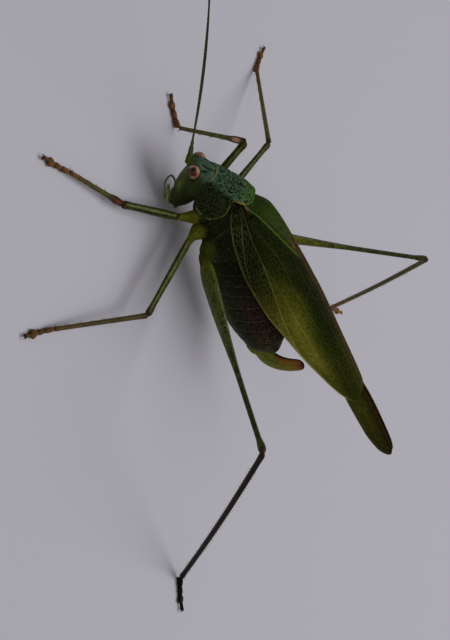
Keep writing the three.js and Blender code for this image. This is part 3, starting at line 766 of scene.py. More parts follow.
def small_shells():
    """Palps, antenna roots and cerci, joined to the skin after it is fused."""
    shells = []
    palp_paint = two_tone("#5d6f3e", "#8a9a62", lambda t: ramp(t, 0.5, 0.9))
    for points in PALPS.values():
        palp = loft(curved(points), palp_section(len(points) - 1), top=np.array([1.0, 0, 0]), around=12,
                    along=44, caps=(0.05, 0.06), paint=palp_paint)
        shells.append(in_group(palp, head))
    for name, side in SIDES.items():
        path = curved([mirrored(point, side) for point in CERCUS_POINTS])
        cercus = loft(path, sections((0, 0.26), (0.6, 0.2), (1, 0.12)), around=14, along=24, caps=(0.1, 0.08),
                      paint=two_tone("#3a3a1c", "#17100c", lambda t: ramp(t, 0.3, 0.9)))
        shells.append(in_group(cercus, trunk))
        way = feeler_path(name)[1]
        shells.append(loft(lambda t, way=way: way(np.asarray(t) * FEELER_ROOT),
                           sections((0, 0.21), (0.5, 0.19), (0.7, 0.12), (0.78, 0.14), (1, 0.09)),
                           around=16, along=28, caps=(0.04, 0.06),
                           paint=two_tone("#4f5a1c", "#3a4018", lambda t: t, dots=0.3)))
    return shells


def feeler_path(name):
    """An antenna's middle line, as a function of the millimetres from its socket."""
    socket = carried(mirrored(SOCKET, SIDES[name]), head)
    knots = [socket]
    for part in ("scape", "1", "2", "3"):
        points = vertices_of(f"antenna_{name}_{part}")
        knots.append(farthest(points, socket))
    knots = np.array(knots)
    along = np.linalg.norm(knots - socket, axis=1)
    fits = [np.polyfit(along, knots[:, k], 3) for k in range(3)]
    return along[-1], lambda s: np.stack([np.polyval(fit, s) for fit in fits], axis=-1)


def healed(mesh):
    """The points that a union adds have no colour of their own, so they take their neighbours'."""
    count = len(mesh.vertices)
    tint = np.zeros(count * 4)
    mesh.attributes["tint"].data.foreach_get("color", tint)
    tint = tint.reshape(-1, 4)
    ends = np.zeros(len(mesh.edges) * 2, int)
    mesh.edges.foreach_get("vertices", ends)
    a, b = ends.reshape(-1, 2).T
    bare = tint[:, :3].min(axis=1) > 0.9
    for _ in range(6):
        good = (~bare).astype(float)
        weight = np.bincount(a, good[b], count) + np.bincount(b, good[a], count)
        for k in range(3):
            value = tint[:, k] * good
            total = np.bincount(a, value[b], count) + np.bincount(b, value[a], count)
            tint[:, k] = np.where(bare & (weight > 0), total / np.maximum(weight, 1), tint[:, k])
        bare &= weight == 0
    mesh.attributes["tint"].data.foreach_set("color", tint.ravel())


def make_skin():
    """One skin for all the flesh: head, trunk, hips, legs, palps and cerci."""
    mesh = fused(trunk_shells())
    points = points_of(mesh)
    points = points + normals_of(mesh) * skin_relief(points)[:, None]
    tint, dots = skin_paint(points)
    faces = [tuple(face.vertices) for face in mesh.polygons]
    bpy.data.meshes.remove(mesh)
    body = add_object("skin", as_mesh("skin", Shell(points, faces, tint, dots), scale=1))
    parts = small_shells()
    for pair, name in LEGS:
        parts += leg_shells(pair, name)
    grown = []
    for n, shell in enumerate(parts):
        part = add_object(f"part_{n}", as_mesh(f"part_{n}", shell, scale=1))
        union = body.modifiers.new(part.name, "BOOLEAN")
        union.operation = "UNION"
        union.solver = "MANIFOLD"
        union.object = part
        grown.append(part)
    mesh = evaluated(body)
    healed(mesh)
    mesh.transform(Matrix.Scale(MM, 4))
    body.modifiers.clear()
    old = body.data
    body.data = mesh
    mesh.name = "skin"
    bpy.data.meshes.remove(old)
    for part in grown:
        dropped(part)
    mesh.polygons.foreach_set("use_smooth", [True] * len(mesh.polygons))
    mesh.materials.clear()
    mesh.materials.append(skin_material())
    return body


# ---------------------------------------------------------------- sheets: shield and wings


def grid_faces(rows, columns, start=0):
    n = lambda i, k: start + i * columns + k
    return [(n(i, k), n(i, k + 1), n(i + 1, k + 1), n(i + 1, k))
            for i in range(rows - 1) for k in range(columns - 1)]


def grid_normals(grid):
    along = np.gradient(grid, axis=0)
    across = np.gradient(grid, axis=1)
    return unit(np.cross(across, along) + 1e-12)


def thick_sheet(grid, outward, thickness, paint):
    """A closed sheet from a grid of its outer points. outward is a direction that its middle faces,
    and thickness a number or one for each point."""
    rows, columns = grid.shape[:2]
    normals = grid_normals(grid)
    if np.sum(normals[rows // 2, columns // 2] * outward) < 0:
        normals = -normals
    inner = grid - normals * np.broadcast_to(np.asarray(thickness, float), (rows, columns))[..., None]
    points = np.concatenate([grid.reshape(-1, 3), inner.reshape(-1, 3)])
    half = rows * columns
    faces = grid_faces(rows, columns) + [face[::-1] for face in grid_faces(rows, columns, half)]
    numbers = np.arange(half).reshape(rows, columns)
    rim = [*numbers[0], *numbers[1:, -1], *numbers[-1, -2::-1], *numbers[-2:0:-1, 0]]
    for a, b in zip(rim, rim[1:] + rim[:1]):
        faces.append((b, a, a + half, b + half))
    tint, dots = paint
    # The inner side is painted as a darker copy of the outer colours: painted shade.
    under_tint = tint * 0.8
    return Shell(points, facing_out(points, faces), np.concatenate([tint, under_tint]), np.tile(dots, 2))


# Rows of [distance back, top, underside, half width] of the shield, in millimetres.
SHIELD_ROWS = profile([[-0.2, -0.14, -2.5, 1.2], [0.1, -0.08, -2.75, 1.26], [0.5, -0.03, -3.15, 1.36],
                       [1.2, 0, -3.5, 1.48], [1.75, 0, -3.62, 1.54], [2.35, 0.02, -3.4, 1.58],
                       [2.8, 0.02, -3.2, 1.58], [4.0, 0, -3.0, 1.38]])
# Its front and hind margins, as rows of [share of the way down the side, distance back].
SHIELD_FRONT = profile([[0, 0.2], [0.15, 0.13], [0.3, -0.03], [0.42, -0.12], [0.62, -0.05], [0.74, 0.01],
                        [0.85, 0.13], [0.94, 0.27], [1, 0.5]])
SHIELD_REAR = profile([[0, 4.0], [0.12, 3.96], [0.2, 3.8], [0.25, 3.5], [0.285, 2.95], [0.31, 2.55],
                       [0.36, 2.5], [0.5, 2.62], [0.7, 2.82], [0.85, 2.7], [1, 2.3]])
SHIELD_SHOULDER = 0.42  # the share of the way down where the arched disc turns into the hanging side
SHIELD_SQUARE = 2 / 3.0  # how square the arch is, where 1 is round


def make_shield():
    """The pronotum: a saddle-shaped shell with a flat disc, keels, and a rounded lobe down each side."""
    rows, columns = 100, 181
    along, across = np.meshgrid(np.linspace(0, 1, rows), np.linspace(-1, 1, columns), indexing="ij")
    reach = np.abs(across)
    first, last = SHIELD_FRONT(reach)[..., 0], SHIELD_REAR(reach)[..., 0]
    back = first + (last - first) * along
    top, under, half = np.moveaxis(SHIELD_ROWS(back), -1, 0)
    # The upper part is a squarish arch, and below it the sides hang, bulging a little.
    angle = np.pi / 2 * (1 - np.minimum(reach / SHIELD_SHOULDER, 1))
    drop = np.minimum(0.85, (top - under) * 0.5)
    hang = np.clip((reach - SHIELD_SHOULDER) / (1 - SHIELD_SHOULDER), 0, 1)
    hanging = reach > SHIELD_SHOULDER
    bulge = 1 + 0.04 * np.sin(np.pi * hang) - 0.1 * hang**2
    x = half * np.where(hanging, bulge, np.cos(angle) ** SHIELD_SQUARE)
    arch = top - drop * (1 - np.sin(angle) ** SHIELD_SQUARE)
    z = np.where(hanging, top - drop - (top - drop - under) * hang, arch)
    # Keels at the shoulders, furrows across the disc, and a raised margin.
    side = ramp(reach, 0.24, 0.34)
    furrows = hump(back + 0.35 * reach, 1.75, 0.09) + 0.8 * hump(back - 0.3 * reach, 2.45, 0.08)
    margin = np.maximum(0.6 * hump(along, 0, 0.03), hump(along, 1, 0.025))
    margin = np.maximum(margin, ramp(reach, 0.95, 1))
    keel = hump(reach, 0.27, 0.02) * ramp(back, 1.2, 2.4)
    middle = hump(reach, 0, 0.02) * ramp(back, 0.8, 1.2)
    relief = -0.05 * furrows * (1 - 0.6 * side) + 0.045 * margin + 0.03 * keel - 0.02 * middle
    grid = np.stack([np.sign(across) * x, back, z], axis=-1)
    normals = grid_normals(grid)
    normals *= np.sign(normals[rows // 2, columns // 2, 2])
    grid = grid + normals * relief[..., None]
    disc = 1 - ramp(reach, 0.26, 0.38)
    # Painted light and shade: the disc is painted lighter and bluish as lit from above, and the hanging sides
    # keep the dark base. The disc turns greener towards the rear, the keels are paler, and the rims are the
    # shield's own pale colour.
    tint = painted(rgb("#2b350f"), ("#425f46", disc), ("#4f7226", disc * ramp(back, 2.4, 3.8) * 0.8),
                   ("#5f7a35", keel * 0.5),
                   ("#6f7034", ramp(reach, 0.955, 0.975) * ramp(along, 0.1, 0.25) * 0.85),
                   ("#6f7034", ramp(along, 0.962, 0.978) * ramp(reach, 0.4, 0.5) * 0.85),
                   ("#8c865c", hump(along, 0, 0.024) * (1 - ramp(reach, 0.26, 0.36))),
                   ("#9a7f4c", ramp(along, 0.96, 0.975) * hump(reach, 0.29, 0.05)))
    dots = np.clip(1.04 - 0.06 * disc - margin * 1.4 - keel * 0.4, 0, 1.2)
    shell = thick_sheet(grid, UP, SHIELD_THICKNESS, (tint.reshape(-1, 3), dots.ravel()))
    return piece_of("shield", in_group(shell, front), shield_material())


TEGMEN_ROWS = profile([[2.3, -0.55, -1.3, 1.15], [3.2, -0.16, -1.6, 1.4], [4.5, 0.85, -2.1, 2.05],
                       [6.5, 1.15, -2.75, 2.2], [9.5, 1.28, -3.25, 2.2], [12.5, 1.3, -3.2, 2.1],
                       [15.0, 1.2, -2.9, 1.85], [18.0, 1.02, -2.5, 1.45], [20.5, 0.85, -1.9, 1.15],
                       [23.2, 0.6, -1.2, 0.95]])
TIP_SHARE = 0.08  # the last part of the tegmen's length, which is rounded
# How far across the wing each main vein runs, as rows of [share of the length, share across].
# Across is 0 at the ridge of the back and 1 at the lower edge.
VEINS = {
    "radius": [[0.05, 0.645], [0.1, 0.679], [0.18, 0.698], [0.29, 0.7], [0.39, 0.736], [0.5, 0.811],
               [0.61, 0.9], [0.67, 0.94], [0.74, 0.985]],
    "subcosta": [[0.06, 0.72], [0.125, 0.8], [0.19, 0.862], [0.3, 0.93], [0.4, 0.985]],
    "sector": [[0.27, 0.7], [0.42, 0.66], [0.6, 0.7], [0.8, 0.79], [0.92, 0.9]],
    "media": [[0.1, 0.63], [0.2, 0.53], [0.31, 0.45], [0.48, 0.49], [0.6, 0.48], [0.8, 0.5], [0.96, 0.6]],
    "cubitus": [[0.34, 0.24], [0.5, 0.25], [0.7, 0.22], [0.95, 0.26]],
    "shoulder": [[0.05, 0.5], [0.1, 0.428], [0.155, 0.346], [0.208, 0.28], [0.25, 0.22], [0.29, 0.16],
                 [0.34, 0.08]],
}
VEIN_PATHS = {name: profile(rows) for name, rows in VEINS.items()}
# The left tegmen laps over the right one: how far each is lifted, and where it starts across the back.
WING_LIFT = {"left": 0.05, "right": -0.02}
WING_START = {"left": -0.09, "right": -0.03}


def vein_share(name, t):
    """How far across the wing a main vein lies."""
    return VEIN_PATHS[name](t)[..., 0]


def wing_points(t, v, name):
    """Points on the outer side of a tegmen, in the trunk's frame."""
    back = TEGMEN["start"] + (TEGMEN["end"] - TEGMEN["start"]) * t
    top, low, half = np.moveaxis(TEGMEN_ROWS(back), -1, 0)
    near_tip = np.clip((t - 1 + TIP_SHARE) / TIP_SHARE, 0, 1)
    rounded = np.sqrt(1 - near_tip**2.5)
    middle = (top + low) / 2
    upper, lower = middle + (top - middle) * rounded, middle + (low - middle) * rounded
    angle = np.pi / 2 * np.maximum(v, 0)
    reach = half - TEGMEN["from_midline"]
    x = TEGMEN["from_midline"] + reach * np.sin(angle) * rounded + (1 - rounded) * reach * 0.8
    x = x + np.minimum(v, 0) * 4.0
    z = lower + (upper - lower) * np.cos(angle) + WING_LIFT[name]
    return np.stack([x * SIDES[name], back, z], axis=-1)


# Where the lower part of the wing, painted yellow as light shining through it, gives way to the dark upper
# part.
GLOW_BORDER = profile([[0.3, 0.8], [0.38, 0.66], [0.48, 0.52], [0.6, 0.6], [0.7, 0.665], [0.8, 0.7],
                       [0.91, 0.78], [1, 0.9]])


def wing_tint(t, v):
    """The tegmen's colours: dark green, painted yellower low down in the rear as light shining through the
    wing, red brown along the ridge.
    """
    from_glow = v - GLOW_BORDER(t)[..., 0]
    costal = ramp(v - vein_share("radius", t), -0.01, 0.03)
    # glow and brightest are painted light: the yellow of light shining through the lower rear of the wing.
    glow = ramp(t - 0.1 * costal, 0.2, 0.56) * (1 - 0.5 * ramp(t, 0.78, 0.98)) * ramp(from_glow, -0.2, 0.12)
    brightest = hump(from_glow, 0.14, 0.12) * ramp(t, 0.45, 0.6) * (1 - ramp(t, 0.75, 0.88))
    # The top of the wing in front: a green field under the shoulder vein, a bright stripe, and a dark line
    # painted along a crease as its shade.
    from_vein = v - vein_share("shoulder", t)
    field = (1 - ramp(from_vein, -0.07, -0.02)) * (1 - ramp(t, 0.24, 0.34))
    stripe = hump(from_vein, -0.012, 0.02) * (1 - ramp(t, 0.3, 0.35)) * ramp(t, 0.03, 0.08)
    # Painted shade: a dark line along the crease.
    crease = hump(from_vein, -0.06, 0.012) * ramp(t, 0.06, 0.1) * (1 - ramp(t, 0.32, 0.36))
    ridge = (1 - ramp(v, 0.02, 0.065)) * ramp(t, 0.2, 0.27)
    return painted(rgb("#141a06"), ("#28350a", ramp(t, 0.12, 0.4) * hump(v, 0.58, 0.2)),
                   ("#2e3209", ramp(t, 0.6, 0.9)), ("#62631a", glow * 0.95),
                   ("#8a8730", glow * brightest * 0.75),
                   ("#6b6a2e", ramp(v, 0.93, 0.975) * ramp(t, 0.5, 0.7) * 0.6),
                   ("#314418", field * 0.95), ("#4e7024", stripe * 0.9), ("#0e1406", crease * 0.9),
                   ("#3f3a24", hump(t, 0.2, 0.035) * hump(v, 0.1, 0.06) * 0.9), ("#4b3020", ridge * 0.9),
                   ("#8a5a3c", hump(t, 0.285, 0.014) * hump(v, 0.05, 0.04) * 0.8),
                   ("#1a0d06", hump(t, 0.055, 0.03) * hump(v, 0.6, 0.07) * 0.95),
                   ("#96805a", hump(t, 0.06, 0.014) * hump(v, 0.5, 0.035) * 0.9),
                   ("#6a6432", ramp(v, 0.975, 0.985) * 0.85),
                   ("#4e2013", hump(t, 0.075, 0.02) * ramp(v, 0.97, 0.985) * 0.8))


def make_tegmen(name):
    rows, columns = 190, 64
    t = np.linspace(0, 0.9995, rows)
    # The rows crowd together in the rounded tip.
    turn = (t - 1 + TIP_SHARE) / TIP_SHARE * np.pi / 2
    t = np.where(t > 1 - TIP_SHARE, 1 - TIP_SHARE * (1 - np.sin(turn)), t)
    t, v = np.meshgrid(t, np.linspace(WING_START[name], 1, columns), indexing="ij")
    look = (wing_tint(t, v).reshape(-1, 3), np.zeros(t.size))
    shell = thick_sheet(wing_points(t, v, name), np.array([SIDES[name], 0, 0.6]), TEGMEN["thickness"], look)
    return piece_of(f"{name}_tegmen", in_group(shell, trunk), wing_material())


def wing_sheet(name, low, high):
    """A band of the tegmen's outer side, between two lines across it, with a UV map of the band."""
    first, last = 0.05, 0.995
    t, share = np.meshgrid(np.linspace(first, last, 100), np.linspace(0, 1, 30), indexing="ij")
    v = low(t) + (high(t) - low(t)) * share
    points = carried(wing_points(t, v, name).reshape(-1, 3), trunk)
    mesh = bpy.data.meshes.new("sheet")
    mesh.from_pydata((points * MM).tolist(), [], grid_faces(*t.shape))
    flat = np.stack([(t.ravel() - first) / (last - first), share.ravel()], axis=1)
    places = mesh.uv_layers.new(name="span")
    corners = np.zeros(len(mesh.loops), int)
    mesh.loops.foreach_get("vertex_index", corners)
    places.data.foreach_set("uv", flat[corners].ravel())
    coloured(mesh, wing_tint(t, v).reshape(-1, 3))
    return mesh


HIND_WING_ROWS = profile([[0, 0.45, -1.25], [0.35, 0.6, -1.55], [0.7, 0.47, -1.5], [0.88, 0.33, -1.2],
                          [1, 0.18, -0.75]])


def make_hind_wing(name):
    """The folded hind wing, which reaches out behind the tegmina."""
    right = name == "right"
    raised = HIND_WING["right_raised"] if right else 0
    end = HIND_WING["end"] - (HIND_WING["right_shorter"] if right else 0)

    def path(t):
        t = np.asarray(t)
        top, low = np.moveaxis(HIND_WING_ROWS(t), -1, 0)
        x = np.full_like(top, HIND_WING["from_midline"] * SIDES[name])
        back = HIND_WING["start"] + (end - HIND_WING["start"]) * t
        return np.stack([x, back, (top + low) / 2 + raised * (1 - 0.6 * t)], axis=-1)

    def section(t):
        top, low = HIND_WING_ROWS(t).T
        half = (top - low) / 2
        return np.c_[HIND_WING["thickness"] / 2 * (1.1 - 0.3 * t), half, half]

    def paint(t, angle):
        height = np.sin(np.radians(angle))
        folds = np.maximum.reduce([hump(height, middle, 0.05) for middle in (-0.6, -0.2, 0.2, 0.5)])
        tint = painted(rgb("#4a4a12"), ("#2a280a", ramp(t, 0.35, 0.95) * 0.8),
                       ("#221a0a", ramp(height, 0.1, 0.9) * 0.8),
                       ("#6b6a30", ramp(-height, 0.75, 0.98) * 0.8),
                       ("#40281a", ramp(height, 0.8, 0.97) * 0.8), ("#5d5c22", folds * 0.35))
        return tint, np.zeros(len(t))

    shell = loft(path, section, around=40, along=80, caps=(0.1, 0.07), paint=paint)
    return piece_of(f"{name}_hind_wing", in_group(shell, trunk), wing_material())


# ---------------------------------------------------------------- eyes, ovipositor, claws

# Where the dark centre of each eye lies, seen from the middle of the eye, in the head's frame.
PUPIL = (0.62, -0.2, 0.76)


def make_eye(name):
    side = SIDES[name]
    half = np.array(EYE["shape"]) * EYE["radius"]
    centre = mirrored(EYE["centre"], side)
    shell = ball(centre, half, around=64, along=48)
    facing = unit((shell.points - centre) / half)
    away = lambda *way: np.degrees(np.arccos(np.clip(facing @ mirrored(unit(way), side), -1, 1)))
    shell.tint = painted(rgb("#4d5020"), ("#8c5c49", 1 - ramp(away(0.45, 0.1, 0.88), 56, 74)),
                         ("#c49a84", hump(away(0.1, 0.3, 0.95), 0, 30) * 0.7),
                         ("#c8987c", hump(away(0.96, 0.27, -0.03), 0, 18) * 0.7),
                         ("#444817", 1 - ramp(away(0.8, -0.6, 0), 28, 50)),
                         # A small pale spot high on the front of the eye is a painted highlight.
                         ("#e2bcae", hump(away(0.14, -0.65, 0.75), 0, 13) * 0.9),
                         ("#521a0e", 1 - ramp(away(0.84, 0.14, 0.5), 16, 34)),
                         ("#5a2010", 1 - ramp(away(*PUPIL), 16, 28)),
                         ("#070101", 1 - ramp(away(*PUPIL), 12, 21)))
    return piece_of(f"{name}_eye", in_group(shell, head), eye_material())


BLADE_POINTS = [(0, 16.2, -6.7), (0, 17.5, -6.65), (0, 18.2, -6.15), (0, 18.75, -5.3), (0, 19.02, -4.4),
                (0, 19.15, -3.66)]
BLADE_SIZES = profile([[0, 0.4, 0.9, 0.9, 2], [0.35, 0.3, 0.86, 0.86, 1.8], [0.6, 0.22, 0.74, 0.74, 1.7],
                       [0.85, 0.15, 0.6, 0.6, 1.7], [1, 0.11, 0.5, 0.5, 1.7]])


def make_ovipositor():
    """A short blade, flat from side to side, that sweeps up like a sickle."""

    def paint(t, angle):
        height = np.sin(np.radians(angle))
        rusty = np.maximum(ramp(t, 0.72, 0.95), ramp(height, 0.2, 0.8) * ramp(t, 0.3, 0.5) * 0.8)
        seam = hump(height, 0.12, 0.05) * ramp(t, 0.05, 0.2)
        tint = painted(rgb("#66711a"), ("#86721a", ramp(t, 0.35, 0.75)), ("#8a4616", rusty),
                       ("#1c0908", ramp(height, 0.78, 0.95) * ramp(t, 0.25, 0.4)),
                       ("#1c0908", ramp(t, 0.9, 1) * 0.9),
                       ("#8f8c45", ramp(-height, 0.6, 0.95) * (1 - ramp(t, 0.6, 0.9)) * 0.6),
                       ("#38300c", seam * 0.7))
        return tint, np.zeros(len(t))

    shell = loft(curved(BLADE_POINTS), BLADE_SIZES, around=48, along=80, caps=(0.12, 0.09), paint=paint)
    return piece_of("blade", in_group(shell, trunk), blade_material())


# Places along a claw from its root in the toes, as (ahead, apart, up), and how high the root is.
CLAW_POINTS = ((0, 0, 0), (0.12, 0.1, 0.06), (0.19, 0.19, -0.05), (0.15, 0.23, -0.2))
CLAW_HEIGHT = 0.31
CLAW_ROOT = 0.32  # how far the root lies behind the tip of the toes


def make_claws():
    """Two hooked claws at the end of every foot."""
    hook = sections((0, 0.05), (0.5, 0.035), (1, 0.01))
    shells = []
    for pair, name in LEGS:
        ankle, toes = leg_joints(pair, name)[3:]
        ahead = unit((toes - ankle) * LEVEL)
        across = np.cross(UP, ahead)
        root = toes - ahead * CLAW_ROOT
        root[2] = CLAW_HEIGHT
        for side in SIDES.values():
            points = [root + ahead * on + across * apart * side + UP * up for on, apart, up in CLAW_POINTS]
            shells.append(loft(curved(points), hook, around=8, along=14, caps=(0.05, 0.1)))
    return piece_of("claws", joined(shells), claw_material())


# ---------------------------------------------------------------- node trees that grow small parts


class Tree:
    """A node tree, written as calls. A value is a number, a (node, output) link or an input's name."""

    def __init__(self, name, inputs):
        self.tree = bpy.data.node_groups.new(name, "GeometryNodeTree")
        face = self.tree.interface
        face.new_socket("Geometry", in_out="INPUT", socket_type="NodeSocketGeometry")
        self.inputs = {}
        for label, kind in inputs.items():
            socket = face.new_socket(label, in_out="INPUT", socket_type=f"NodeSocket{kind}")
            self.inputs[label] = socket.identifier
        face.new_socket("Geometry", in_out="OUTPUT", socket_type="NodeSocketGeometry")
        self.start = self.tree.nodes.new("NodeGroupInput")
        self.end = self.tree.nodes.new("NodeGroupOutput")

    def link(self, socket, value):
        if isinstance(value, str) and value in self.start.outputs:
            self.tree.links.new(self.start.outputs[value], socket)
        elif isinstance(value, tuple) and hasattr(value[0], "outputs"):
            self.tree.links.new(value[0].outputs[value[1]], socket)
        elif hasattr(value, "outputs"):
            self.tree.links.new(value.outputs[0], socket)
        else:
            socket.default_value = value

    def add(self, kind, settings=None, sockets=None):
        node = self.tree.nodes.new(kind)
        for key, value in (settings or {}).items():
            setattr(node, key, value)
        for key, value in (sockets or {}).items():
            self.link(node.inputs[key], value)
        return node

    def math(self, operation, *values):
        return self.add("ShaderNodeMath", {"operation": operation}, dict(enumerate(values)))

    def stored(self, geometry, name, value, kind="FLOAT"):
        return self.add("GeometryNodeStoreNamedAttribute", {"data_type": kind, "domain": "POINT"}, {
            "Geometry": geometry, "Name": name, "Value": value})

    def read(self, name, kind="FLOAT_VECTOR"):
        return self.add("GeometryNodeInputNamedAttribute", {"data_type": kind}, {"Name": name}), "Attribute"

    def finish(self, geometry):
        real = self.add("GeometryNodeRealizeInstances", None, {0: geometry})
        done = self.add("GeometryNodeSetMaterial", None, {"Geometry": real, "Material": "Material"})
        self.link(self.end.inputs[0], done)
        return self

    def grow(self, name, mesh, values):
        """The mesh that the tree makes from another, as a new object."""
        thing = add_object(name, mesh)
        nodes = thing.modifiers.new("grow", "NODES")
        nodes.node_group = self.tree
        for label, value in values.items():
            nodes[self.inputs[label]] = value
        grown = evaluated(thing)
        dropped(thing)
        grown.name = name
        grown.polygons.foreach_set("use_smooth", [True] * len(grown.polygons))
        return add_object(name, grown)


def vein_net():
    """A net of many-sided cells over a wing: the dual of a shaken lattice, laid on its UV map."""
    net = Tree("vein net", {"Cells Along": "Int", "Cells Across": "Int", "Shake": "Float",
                            "Vein Radius": "Float", "Seed": "Int", "Material": "Material"})
    lattice = net.add("GeometryNodeMeshGrid", None, {
        "Size X": 1.0, "Size Y": 1.0, "Vertices X": "Cells Along", "Vertices Y": "Cells Across"})
    # Every other row is shifted by half a step, and every point is shaken.
    place = net.add("ShaderNodeSeparateXYZ", None, {0: (net.add("GeometryNodeInputPosition"), 0)})
    row = net.math("ROUND", net.math("MULTIPLY", (place, "Y"), "Cells Across"))
    step = net.math("DIVIDE", 1.0, "Cells Along")
    shift = net.math("MULTIPLY", net.math("MULTIPLY", net.math("PINGPONG", row, 1.0), step), 0.5)
    along = net.math("MULTIPLY", step, "Shake")
    across = net.math("DIVIDE", "Shake", "Cells Across")
    low = net.add("ShaderNodeCombineXYZ", None, {
        0: net.math("MULTIPLY", along, -1.0), 1: net.math("MULTIPLY", across, -1.0)})
    high = net.add("ShaderNodeCombineXYZ", None, {0: along, 1: across})
    random = net.add("FunctionNodeRandomValue", {"data_type": "FLOAT_VECTOR"}, {
        "Min": low, "Max": high, "Seed": "Seed"})
    moved = net.add("ShaderNodeVectorMath", {"operation": "ADD"}, {
        0: net.add("ShaderNodeCombineXYZ", None, {0: shift}), 1: random})
    shaken = net.add("GeometryNodeSetPosition", None, {"Geometry": lattice, "Offset": moved})
    cells = net.add("GeometryNodeDualMesh", None, {0: net.add("GeometryNodeTriangulate", None, {0: shaken})})
    # The cells are laid on the wing, and take its colour.
    spot = net.add("ShaderNodeVectorMath", {"operation": "ADD"}, {
        0: net.add("GeometryNodeInputPosition"), 1: (0.5, 0.5, 0.0)})
    span = net.read("span")

    def on_wing(value, kind):
        return net.add("GeometryNodeSampleUVSurface", {"data_type": kind}, {
            0: "Geometry", "Value": value, "Source UV Map": span, "Sample UV": spot})

    wing = on_wing(net.add("GeometryNodeInputPosition"), "FLOAT_VECTOR")
    tint = on_wing(net.read("tint", "FLOAT_COLOR"), "FLOAT_COLOR")
    outside = net.add("FunctionNodeBooleanMath", {"operation": "NOT"}, {0: (wing, "Is Valid")})
    kept = net.add("GeometryNodeDeleteGeometry", {"domain": "POINT"}, {0: cells, "Selection": outside})
    tinted = net.stored(kept, "tint", (tint, "Value"), "FLOAT_COLOR")
    laid = net.add("GeometryNodeSetPosition", None, {"Geometry": tinted, "Position": (wing, "Value")})
    lines = net.add("GeometryNodeMeshToCurve", None, {0: laid})
    section = net.add("GeometryNodeCurvePrimitiveCircle", None, {"Resolution": 5, "Radius": "Vein Radius"})
    return net.finish(net.add("GeometryNodeCurveToMesh", None, {0: lines, 1: section, "Fill Caps": True}))


def ringed_rod():
    """A tapering rod along a line of edges, narrowed at every joint between its rings."""
    rod = Tree("ringed rod", {"Root Radius": "Float", "Tip Radius": "Float", "Ring Length": "Float",
                              "Waist": "Float", "Sides": "Int", "Material": "Material"})
    line = rod.add("GeometryNodeMeshToCurve", None, {0: "Geometry"})
    step = rod.math("MULTIPLY", "Ring Length", 0.25)
    fine = rod.add("GeometryNodeResampleCurve", {"mode": "LENGTH"}, {"Curve": line, "Length": step})
    here = rod.add("GeometryNodeSplineParameter")
    taper = rod.add("ShaderNodeMapRange", None, {
        "Value": (here, "Factor"), "To Min": "Root Radius", "To Max": "Tip Radius"})
    # joint is 0 in the middle of a ring and 0.5 where two rings meet.
    phase = rod.math("FRACT", rod.math("DIVIDE", (here, "Length"), "Ring Length"))
    joint = rod.math("ABSOLUTE", rod.math("SUBTRACT", phase, 0.5))
    edge = rod.math("POWER", rod.math("MULTIPLY", joint, 2.0), 3.0)
    pinch = rod.math("SUBTRACT", 1.0, rod.math("MULTIPLY", edge, "Waist"))
    radius = rod.math("MULTIPLY", (taper, 0), pinch)
    marked = rod.stored(rod.stored(fine, "along", (here, "Factor")), "ring", joint)
    sized = rod.add("GeometryNodeSetCurveRadius", None, {"Curve": marked, "Radius": radius})
    section = rod.add("GeometryNodeCurvePrimitiveCircle", None, {"Resolution": "Sides", "Radius": 1.0})
    body = rod.add("GeometryNodeCurveToMesh", None, {0: sized, 1: section, "Fill Caps": True})
    if "Scale" in body.inputs:
        rod.link(body.inputs["Scale"], radius)
    return rod.finish(body)


def spine_row():
    """Thorns along lines of edges, each leaning the way that the line's own attribute says."""
    row = Tree("spine row", {"Spacing": "Float", "Length": "Float", "Root Radius": "Float", "Seed": "Int",
                             "Material": "Material"})
    line = row.add("GeometryNodeMeshToCurve", None, {0: "Geometry"})
    places = row.add("GeometryNodeResampleCurve", {"mode": "LENGTH"}, {"Curve": line, "Length": "Spacing"})
    thorn = row.add("GeometryNodeMeshCone", {"fill_type": "NGON"}, {
        "Vertices": 5, "Side Segments": 2, "Radius Top": 1e-6, "Radius Bottom": "Root Radius",
        "Depth": "Length"})
    turn = row.add("FunctionNodeAlignRotationToVector", {"axis": "Z"}, {"Vector": row.read("lean")})
    size = row.add("FunctionNodeRandomValue", {"data_type": "FLOAT"}, {2: 0.75, 3: 1.2, "Seed": "Seed"})
    return row.finish(row.add("GeometryNodeInstanceOnPoints", None, {
        "Points": places, "Instance": thorn, "Rotation": turn, "Scale": (size, 1)}))


def guide_mesh(lines, leans=None, tints=None):
    """A mesh of bare edges along each line of points, with a leaning or a colour for each point."""
    points = np.concatenate(lines)
    edges = []
    start = 0
    for line in lines:
        edges += [(start + k, start + k + 1) for k in range(len(line) - 1)]
        start += len(line)
    mesh = bpy.data.meshes.new("guide")
    mesh.from_pydata((points * MM).tolist(), edges, [])
    if leans is not None:
        lean = mesh.attributes.new("lean", "FLOAT_VECTOR", "POINT")
        lean.data.foreach_set("vector", np.concatenate(leans).ravel())
    if tints is not None:
        coloured(mesh, np.concatenate(tints))
    return mesh


def make_antennae():
    rod = ringed_rod()
    look = {"Root Radius": 0.085 * MM, "Tip Radius": 0.035 * MM, "Ring Length": 0.34 * MM, "Waist": 0.22,
            "Sides": 10, "Material": antenna_material()}
    made = []
    for name in SIDES:
        length, path = feeler_path(name)
        guide = guide_mesh([path(np.linspace(FEELER_START, length - FEELER_SHORT, 120))])
        made.append(rod.grow(f"antenna_{name}", guide, look))
    return made


# The main veins in their two strengths, and the fine nets in the two bands that the radius parts.
MAIN_VEINS = {
    "bold": dict(names=("radius", "subcosta"), radius=0.045, look=(2.5, 0.4)),
    "fine": dict(names=("sector", "media", "cubitus", "shoulder"), radius=0.026, look=(1.8, 0.18)),
}
NETS = {
    "lower": dict(between=(None, 0.985), cells=(42, 7), radius=0.017, look=(2.5, 0.4)),
    "upper": dict(between=(0.03, None), cells=(50, 12), radius=0.013, look=(1.8, 0.18)),
}
NET_SHAKE = 0.5


def net_edge(share):
    """An edge of a net: a fixed share across the wing, or along the radius where there is none."""
    if share is None:
        return lambda t: np.minimum(vein_share("radius", t), 0.965)
    return lambda t: np.full_like(t, share)


